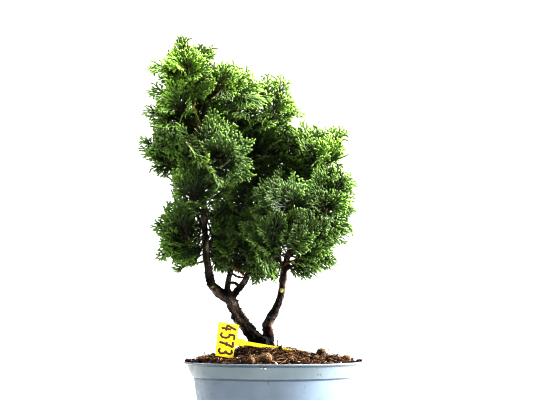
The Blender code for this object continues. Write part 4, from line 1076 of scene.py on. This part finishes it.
def inner_fans(wood, radius, rng):
    """Sprays on the limbs: each stands on the point of thin wood that is farthest from those before."""
    thin = wood[(wood[:, 2] > 205 * MM) & (radius < 2.4 * MM)]
    thin = thin[rng.integers(0, len(thin), 4000)]
    chosen = thin[:1]
    for _ in range(INNER_SPRAYS):
        away = np.linalg.norm(thin[:, None] - chosen, axis=2).min(1)
        spot = thin[away.argmax()]
        chosen = np.concatenate([chosen, spot[None]])
        outwards = (spot - CROWN_MIDDLE) / np.linalg.norm(spot - CROWN_MIDDLE)
        along = 0.6 * outwards + 0.45 * rng.normal(0, 1, 3) + (0, 0, 0.25)
        yield aimed(spot, along, rng.normal(0, 0.5, 3) + (0, 0, 1), 0.0, rng.uniform(22, 31) * MM)


def scale_leaves():
    """Scale leaves: waxy overlapping scales, yellow-green at the tips, dark green and olive further in, with
    painted light and shade.
    """
    finish, tree, shader, place = new_finish("waxy_scale_leaves", Roughness=0.5, IOR=1.42)
    age, sun, fresh, tone_and_painted_light, run = (add_node(tree, "Attribute", attribute_name=name).outputs["Fac"]
                                  for name in ("age", "sun", "fresh", "tone_and_painted_light", "run"))
    patch = add_node(tree, "TexNoise", {"Vector": place, "Scale": 1 / (9 * MM), "Detail": 3.0})
    shift = add_node(tree, "MapRange", {0: patch, 1: 0.3, 2: 0.7, 3: -0.1, 4: 0.1})
    aged = add_node(tree, "Math", {0: age, 1: shift}, operation="ADD")
    shade, bright, young = (add_node(tree, "ValToRGB", {0: aged}, stops=stops) for stops in LEAF_GREENS)
    # the sun mark mixes a shaded and a sunlit copy of the greens: painted light and shade
    painted_sun_and_shade_green = add_node(tree, "Mix", {0: sun, 6: shade, 7: bright}, data_type="RGBA")
    lit = add_node(tree, "Mix", {0: fresh, 6: painted_sun_and_shade_green, 7: young}, data_type="RGBA")
    # each spray's own tone, shifted by the painted light and shade of build_sprays
    tint = add_node(tree, "MapRange", {0: tone_and_painted_light, 1: -0.75, 2: 2.0, 3: 0.25, 4: 1.9})
    colour = add_node(tree, "VectorMath", {0: lit, 3: tint}, operation="SCALE")
    # a scale leaf is about 1.7 mm long, and its free tip stands a little off the shoot
    scale = add_node(tree, "Math", {0: run, 1: 1.7}, operation="DIVIDE")
    saw = add_node(tree, "Math", {0: scale}, operation="FRACT")
    seam = add_node(tree, "MapRange", {0: saw, 1: 0.72, 2: 1.0, 3: 1.0, 4: 0.75})
    leaf = add_node(tree, "VectorMath", {0: colour, 3: seam}, operation="SCALE")
    bump = add_node(tree, "Bump", {"Height": saw, "Strength": 0.5, "Distance": 0.15 * MM})
    feed(tree, shader, {"Base Color": leaf, "Normal": bump})
    return finish


def twig_skin(path, radii_mm, age=0.0):
    """A bare twig: a round tube that carries the marks of the sprays."""
    made, faces, _ = tubes(path[None], np.array(radii_mm)[None] * MM, 6)
    marks = {"age": age, "run": 0.0, "tone_and_painted_light": 0.5}
    return made, faces, {mark: np.full(len(made), value) for mark, value in marks.items()}


def stalk_skin(points):
    """A branch's stalk as a round tube through the middle of its solid, sunk a little into its twig."""
    middle = points.mean(0)
    way = np.linalg.svd(points - middle)[2][0]
    reach = (points - middle) @ way
    share = np.linspace(-0.2, 1.05, 8)
    path = middle + (reach.min() + share * np.ptp(reach))[:, None] * way
    return twig_skin(path, np.interp(share, (0, 1), (0.95, 0.8)))


def spur_skin(fan, wood, others):
    """The bare twig under a spray: a bow from the nearest wood or spray that ends along the spray."""
    root, along, _, _, length = fan
    ends = [other[0] + 0.8 * other[4] * other[1] for other in others]
    near = np.concatenate([wood, ends]) if others else wood
    start = near[np.linalg.norm(near - root, axis=1).argmin()]
    share = np.linspace(0, 1, 7)[:, None]
    control = root - along * 0.4 * np.linalg.norm(root - start)
    path = bow(start, control, root + 0.1 * length * along, share)
    return twig_skin(path, np.linspace(0.8, 0.55, 7), 0.45 if others else 0.0)


def open_sky(points, everything):
    """How much open sky each point sees, from 0 to 1: the light along six ways through the crown.

    All points are counted in cells. Light falls by e for each reach of average density that it passes,
    and a point takes the mean of its six ways, read between the cells around it.
    """
    low = everything.min(0) - 2 * SKY_CELL
    shape = ((everything.max(0) - low) / SKY_CELL).astype(int) + 4
    cell = ((everything - low) / SKY_CELL).astype(int)
    grid = np.bincount(np.ravel_multi_index(cell.T, shape), minlength=shape.prod()).reshape(shape)
    dense = grid / grid[grid > 0].mean() * SKY_CELL / SKY_REACH
    light = np.zeros(shape)
    for axis, share in ((0, 0.2), (1, 0.08), (2, 0.04)):
        passed = np.cumsum(dense, axis=axis)
        light += share * np.exp(-passed)
        share = 0.42 if axis == 2 else share
        light += share * np.exp(-(np.take(passed, [-1], axis=axis) - passed))
    spot = (points - low) / SKY_CELL - 0.5
    base = spot.astype(int)
    part = spot - base
    total = np.zeros(len(points))
    for corner in np.ndindex(2, 2, 2):
        near = np.abs(1 - np.array(corner) - part).prod(1)
        total += near * light[tuple((base + corner).T)]
    return total


def prong_skins():
    """The prongs of the leading tip: each runs straight from one of its points to the next."""
    for row in np.array(LEADING_TIP_MM) * MM:
        path = np.column_stack([row[::2], np.zeros(3), row[1::2]])
        path = np.array([np.interp(np.linspace(0, 2, 7), range(3), along) for along in path.T]).T
        yield twig_skin(path, [0.8, 0.85, 0.85, 0.85, 0.8, 0.75, 0.4], 0.85)


def build_sprays(wood, radius):
    """The sprays of every node, then those of the tables and of the limbs; the crown's shade tints all."""
    finish = scale_leaves()
    rng = np.random.default_rng(42)
    parts = {}
    for node in sorted(name for name in frame["nodes"] if name.startswith("foliage_")):
        found, stalk = fans(node)
        skins = [stalk_skin(stalk)] + [sprays_on(shortened(outward(fan)), FRONDS, rng) for fan in found]
        parts[node.replace("foliage", "sprays")] = (joined(skins), [node])
    for name, some in (
        ("loose", loose_fans(LOOSE_SPRAYS_MM)), ("tip", loose_fans(TIP_SPRAYS_MM)),
        ("bright", loose_fans(BRIGHT_SPRAYS_MM)), ("inner", inner_fans(wood, radius, rng)),
    ):
        some, free = list(some), name in ("tip", "bright")
        skins = [spur_skin(fan, wood, some[:k] if name == "bright" else []) for k, fan in enumerate(some)]
        skins += [sprays_on(fan if free else shortened(fan), FRONDS[:4], rng, free) for fan in some]
        skins += prong_skins() if name == "bright" else []
        parts[f"sprays_{name}"] = (joined(skins), [])
    everything = np.concatenate([points for (points, _, _), _ in parts.values()])
    for name, ((points, faces, marks), nodes) in parts.items():
        x, y, z = points.T / MM
        # painted light and shade: lighter at the left, most of all up and down there, darker in front and at
        # the very top
        marks["tone_and_painted_light"] += 0.9 * slope(x, -60, -82) - 0.75 * slope(y, -14, -30) - 1.6 * slope(z, 376, 392)
        marks["tone_and_painted_light"] += 0.1 * slope(z, 340, 370) * slope(x, -40, -60)
        marks["tone_and_painted_light"] += 0.5 * slope(z, 250, 220) * slope(x, -42, -58)
        # painted light and shade: the sun mark is the open sky a point sees, raised at the top and at the right
        # where the lamps fall
        painted_top_right_light = 0.35 * slope(z, 310, 360) + 0.15 * slope(x, 25, 50)
        marks["sun"] = np.clip((open_sky(points, everything) - 0.08) / 0.36 + painted_top_right_light, 0, 1)
        # brighter, yellower growth at the top, at the right and where the sun mark is high: this year's growth,
        # and with it painted light where the top and right lamps fall
        fresh = np.clip((z - 285) / 75 + np.maximum(x, 0) / 100 + np.minimum(x, 0) / 320, 0, 1) * marks["sun"]
        marks["fresh"] = np.full(len(points), 1.0) if name == "sprays_bright" else 0.85 * fresh
        add_piece(name, (points, faces, marks), finish, nodes)


build_sprays(wood_points, wood_radius)

# The plant label
# A T-shaped label stamped from yellow polystyrene sheet, its stake pushed into the mound. The grower's
# number is written up the head in brown marker.
LABEL_THICKNESS = 0.9 * MM
(HEAD_W, HEAD_H), (NECK_W, NECK_H) = (16, 28), (6.5, 6)  # these and the stake's sizes are in millimetres
STAKE_LENGTH, STAKE_WIDTH, STAKE_TIP, STAKE_TIP_LENGTH = 45, 3.6, 1.6, 6
WIDER, NARROWER = 1.7, 1.0  # how far the head's upper left corner is drawn out, and its lower right one in
INK_HALF_WIDTH, RIDGE_HALF_WIDTH, RAISED = 0.92, 0.3, 0.14  # strokes, and their height as a share of that
DIGIT_RISE, DIGIT_WIDTH, DIGIT_STEP = 12, 4.6, 6.5
FIRST_DIGIT = (-14.2, 12.6)  # its foot and its left side, on the head
SQUARE_LEFT, SQUARE_RIGHT, SQUARE_HALF = 2.0, 4.8, 1.5  # the raised square on the neck
LABEL_PLACE = Vector((-30.5, -24, 134.8)) * MM
DIGITS = (  # 4, 5, 7 and 3 as strokes in a square one wide and one high
    (((0.62, 1.0), (0.06, 0.36), (0.98, 0.33)), ((0.72, 0.66), (0.64, 0.0))),
    (((0.96, 0.98), (0.26, 0.97), (0.2, 0.56), (0.56, 0.64), (0.9, 0.42), (0.84, 0.13), (0.5, 0.0),
      (0.1, 0.08)),),
    (((0.06, 0.92), (0.94, 0.98), (0.55, 0.48), (0.36, 0.0)), ((0.24, 0.5), (0.82, 0.52))),
    (((0.1, 0.9), (0.5, 1.0), (0.85, 0.82), (0.74, 0.6), (0.38, 0.54), (0.8, 0.44), (0.94, 0.2), (0.5, 0.0),
      (0.08, 0.12)),),
)
LABEL_TURN = Matrix.Rotation(math.radians(14), 4, "Z") @ Matrix.Rotation(math.radians(9), 4, "Y")


def label_plastic():
    """Stamped polystyrene sheet: a strong clear yellow, satin, with a few smears of soil."""
    finish, tree, shader, place = new_finish("yellow_polystyrene", Roughness=0.4, IOR=1.55)
    patch = add_node(tree, "TexNoise", {"Vector": place, "Scale": 1 / (5 * MM), "Detail": 5.0})
    colour = add_node(tree, "ValToRGB", {0: patch},
                      stops=((0.25, "#BEA015"), (0.42, "#D8C61C"), (0.7, "#E0D226")))
    feed(tree, shader, {"Base Color": colour})
    return finish


def marker_ink():
    """Dried marker: matt red-brown, thin enough to let the yellow warm it."""
    finish, tree, shader, place = new_finish("brown_marker", Roughness=0.6)
    patch = add_node(tree, "TexNoise", {"Vector": place, "Scale": 1 / (1.5 * MM)})
    colour = add_node(tree, "ValToRGB", {0: patch}, stops=((0.35, "#3A1508"), (0.7, "#5E2A0C")))
    feed(tree, shader, {"Base Color": colour})
    return finish


def build_label():
    """The outline as a plate with soft edges, a raised square on its neck, and the number."""
    end = NECK_W + STAKE_LENGTH
    upper = [(-HEAD_W, HEAD_H / 2), (0, HEAD_H / 2), (0, NECK_H / 2), (NECK_W, NECK_H / 2),
             (NECK_W, STAKE_WIDTH / 2), (end - STAKE_TIP_LENGTH, STAKE_TIP / 2 + 0.5), (end, 0.2)]
    outline = [(x, 0, z) for x, z in upper] + [(x, 0, -z) for x, z in reversed(upper)]
    work = bmesh.new()
    corners = [work.verts.new(Vector(point) * MM + Vector((0, -LABEL_THICKNESS / 2, 0))) for point in outline]
    face = work.faces.new(corners)
    pushed = bmesh.ops.extrude_face_region(work, geom=[face])["geom"]
    back = [item for item in pushed if isinstance(item, bmesh.types.BMVert)]
    bmesh.ops.translate(work, verts=back, vec=(0, LABEL_THICKNESS, 0))
    bmesh.ops.recalc_face_normals(work, faces=work.faces)
    bmesh.ops.bevel(work, geom=work.edges[:], offset=0.16 * MM, segments=2, affect="EDGES")
    bmesh.ops.triangulate(work, faces=work.faces)
    # warm hands drew the sheet a little: the head is wider along its upper side than along its lower one
    for corner in work.verts:
        x, z = corner.co.x / HEAD_W / MM, corner.co.z / HEAD_H / MM
        if x < 0.01:
            corner.co.x += (WIDER * x * (z + 0.5) - NARROWER * (1 + x) * (0.5 - z)) * MM
    bmesh.ops.transform(work, verts=work.verts, matrix=Matrix.Translation(LABEL_PLACE) @ LABEL_TURN)
    mesh = bpy.data.meshes.new("label_plate")
    work.to_mesh(mesh)
    work.free()
    plastic = label_plastic()
    add_piece("label_plate", mesh, plastic, ["plant_label"])
    # the number runs down the head, the digits' tops to the right: each stroke is a flat ridge of ink
    strokes = []
    for k, digit in enumerate(DIGITS):
        for stroke in digit:
            u, v = np.array(stroke).T
            run = np.append(0, np.cumsum(np.hypot(np.diff(u), np.diff(v))))
            step = np.linspace(0, run[-1], 24)
            u, v = np.interp(step, run, u), np.interp(step, run, v)
            across, down = FIRST_DIGIT[0] + DIGIT_RISE * v, FIRST_DIGIT[1] - DIGIT_STEP * k - DIGIT_WIDTH * u
            strokes.append(np.column_stack([across, np.full(24, -0.5), down]))
    corners = np.array([(x, -0.45, z) for x, z in (
        (SQUARE_LEFT, -SQUARE_HALF), (SQUARE_RIGHT, -SQUARE_HALF), (SQUARE_RIGHT, SQUARE_HALF),
        (SQUARE_LEFT, SQUARE_HALF),
    )])
    ridges = [np.linspace(corners[k], corners[(k + 1) % 4], 6) for k in range(4)]
    turn = np.array(LABEL_TURN.to_3x3())
    for name, paths, width, finish in (("label_number", strokes, INK_HALF_WIDTH, marker_ink()),
                                       ("label_ridges", ridges, RIDGE_HALF_WIDTH, plastic)):
        paths = np.array(paths) * MM
        points, faces, _ = tubes(paths, np.full(paths.shape[:2], width * MM), 8)
        points[:, 1] = -0.5 * LABEL_THICKNESS + RAISED * (points[:, 1] + 0.5 * LABEL_THICKNESS)
        add_piece(name, (points @ turn.T + np.array(LABEL_PLACE), faces), finish)


build_label()

# The studio
# A small pale floor in front of a lit white sweep, a broad softbox at the right, a weaker one at the
# left and one above, so that the side towards the camera stays in soft shade.
FLOOR_RADIUS = 1.1
LIGHTS = (  # name, place, size and power
    ("right_softbox", (1.2, 0.0, 0.65), 0.5, 88.0),
    ("left_softbox", (-1.0, 0.6, 0.9), 0.6, 12.0),
    ("top_softbox", (0.04, 0.12, 1.5), 0.7, 78.0),
)
AIMED_AT = (0, 0, 0.22)
SWEEP_DARK, SWEEP_LIGHT, SWEEP_SEEN = 0.21, 0.52, 1.15  # brightness in front, behind and in the picture
EXPOSURE, GAMMA = 0.55, 0.78

floor_finish, floor_tree, floor_shader, _ = new_finish("pale_floor", Roughness=0.8)
speck = add_node(floor_tree, "TexNoise", {"Scale": 40.0})
pale = add_node(floor_tree, "ValToRGB", {0: speck}, stops=((0.0, "#A8A8A6"), (1.0, "#AEAEAC")))
feed(floor_tree, floor_shader, {"Base Color": pale})
floor_points, floor_faces = turned(np.array([(0, 0), (FLOOR_RADIUS, 0)]), 64)
floor_mesh = new_mesh("floor", floor_points, floor_faces[:, ::-1], merge=NEAR)
floor_mesh.materials.append(floor_finish)
floor = put("floor", floor_mesh)

for name, place, size, power in LIGHTS:
    lamp = bpy.data.lights.new(name, "AREA")
    lamp.size, lamp.energy = size, power
    put(name, lamp, place, AIMED_AT)

surround = bpy.data.worlds.new("white_sweep")
surround.use_nodes = True
tree = surround.node_tree
way = add_node(tree, "SeparateXYZ", {0: add_node(tree, "TexCoord").outputs["Generated"]}).outputs["Y"]
room = add_node(tree, "MapRange", {0: way, 1: -0.2, 2: 0.7, 3: SWEEP_DARK, 4: SWEEP_LIGHT})
seen = add_node(tree, "LightPath").outputs["Is Camera Ray"]
strength = add_node(tree, "Mix", {0: seen, 2: room, 3: SWEEP_SEEN}, data_type="FLOAT")
feed(tree, tree.nodes["Background"], {"Strength": strength, "Color": (1, 1, 1, 1)})
scene = bpy.context.scene
scene.world = surround
view = scene.view_settings
view.view_transform, view.exposure, view.gamma = "Standard", EXPOSURE, GAMMA
scene.cycles.filter_width = 1.15  # a crisp picture

bpy.context.view_layer.update()
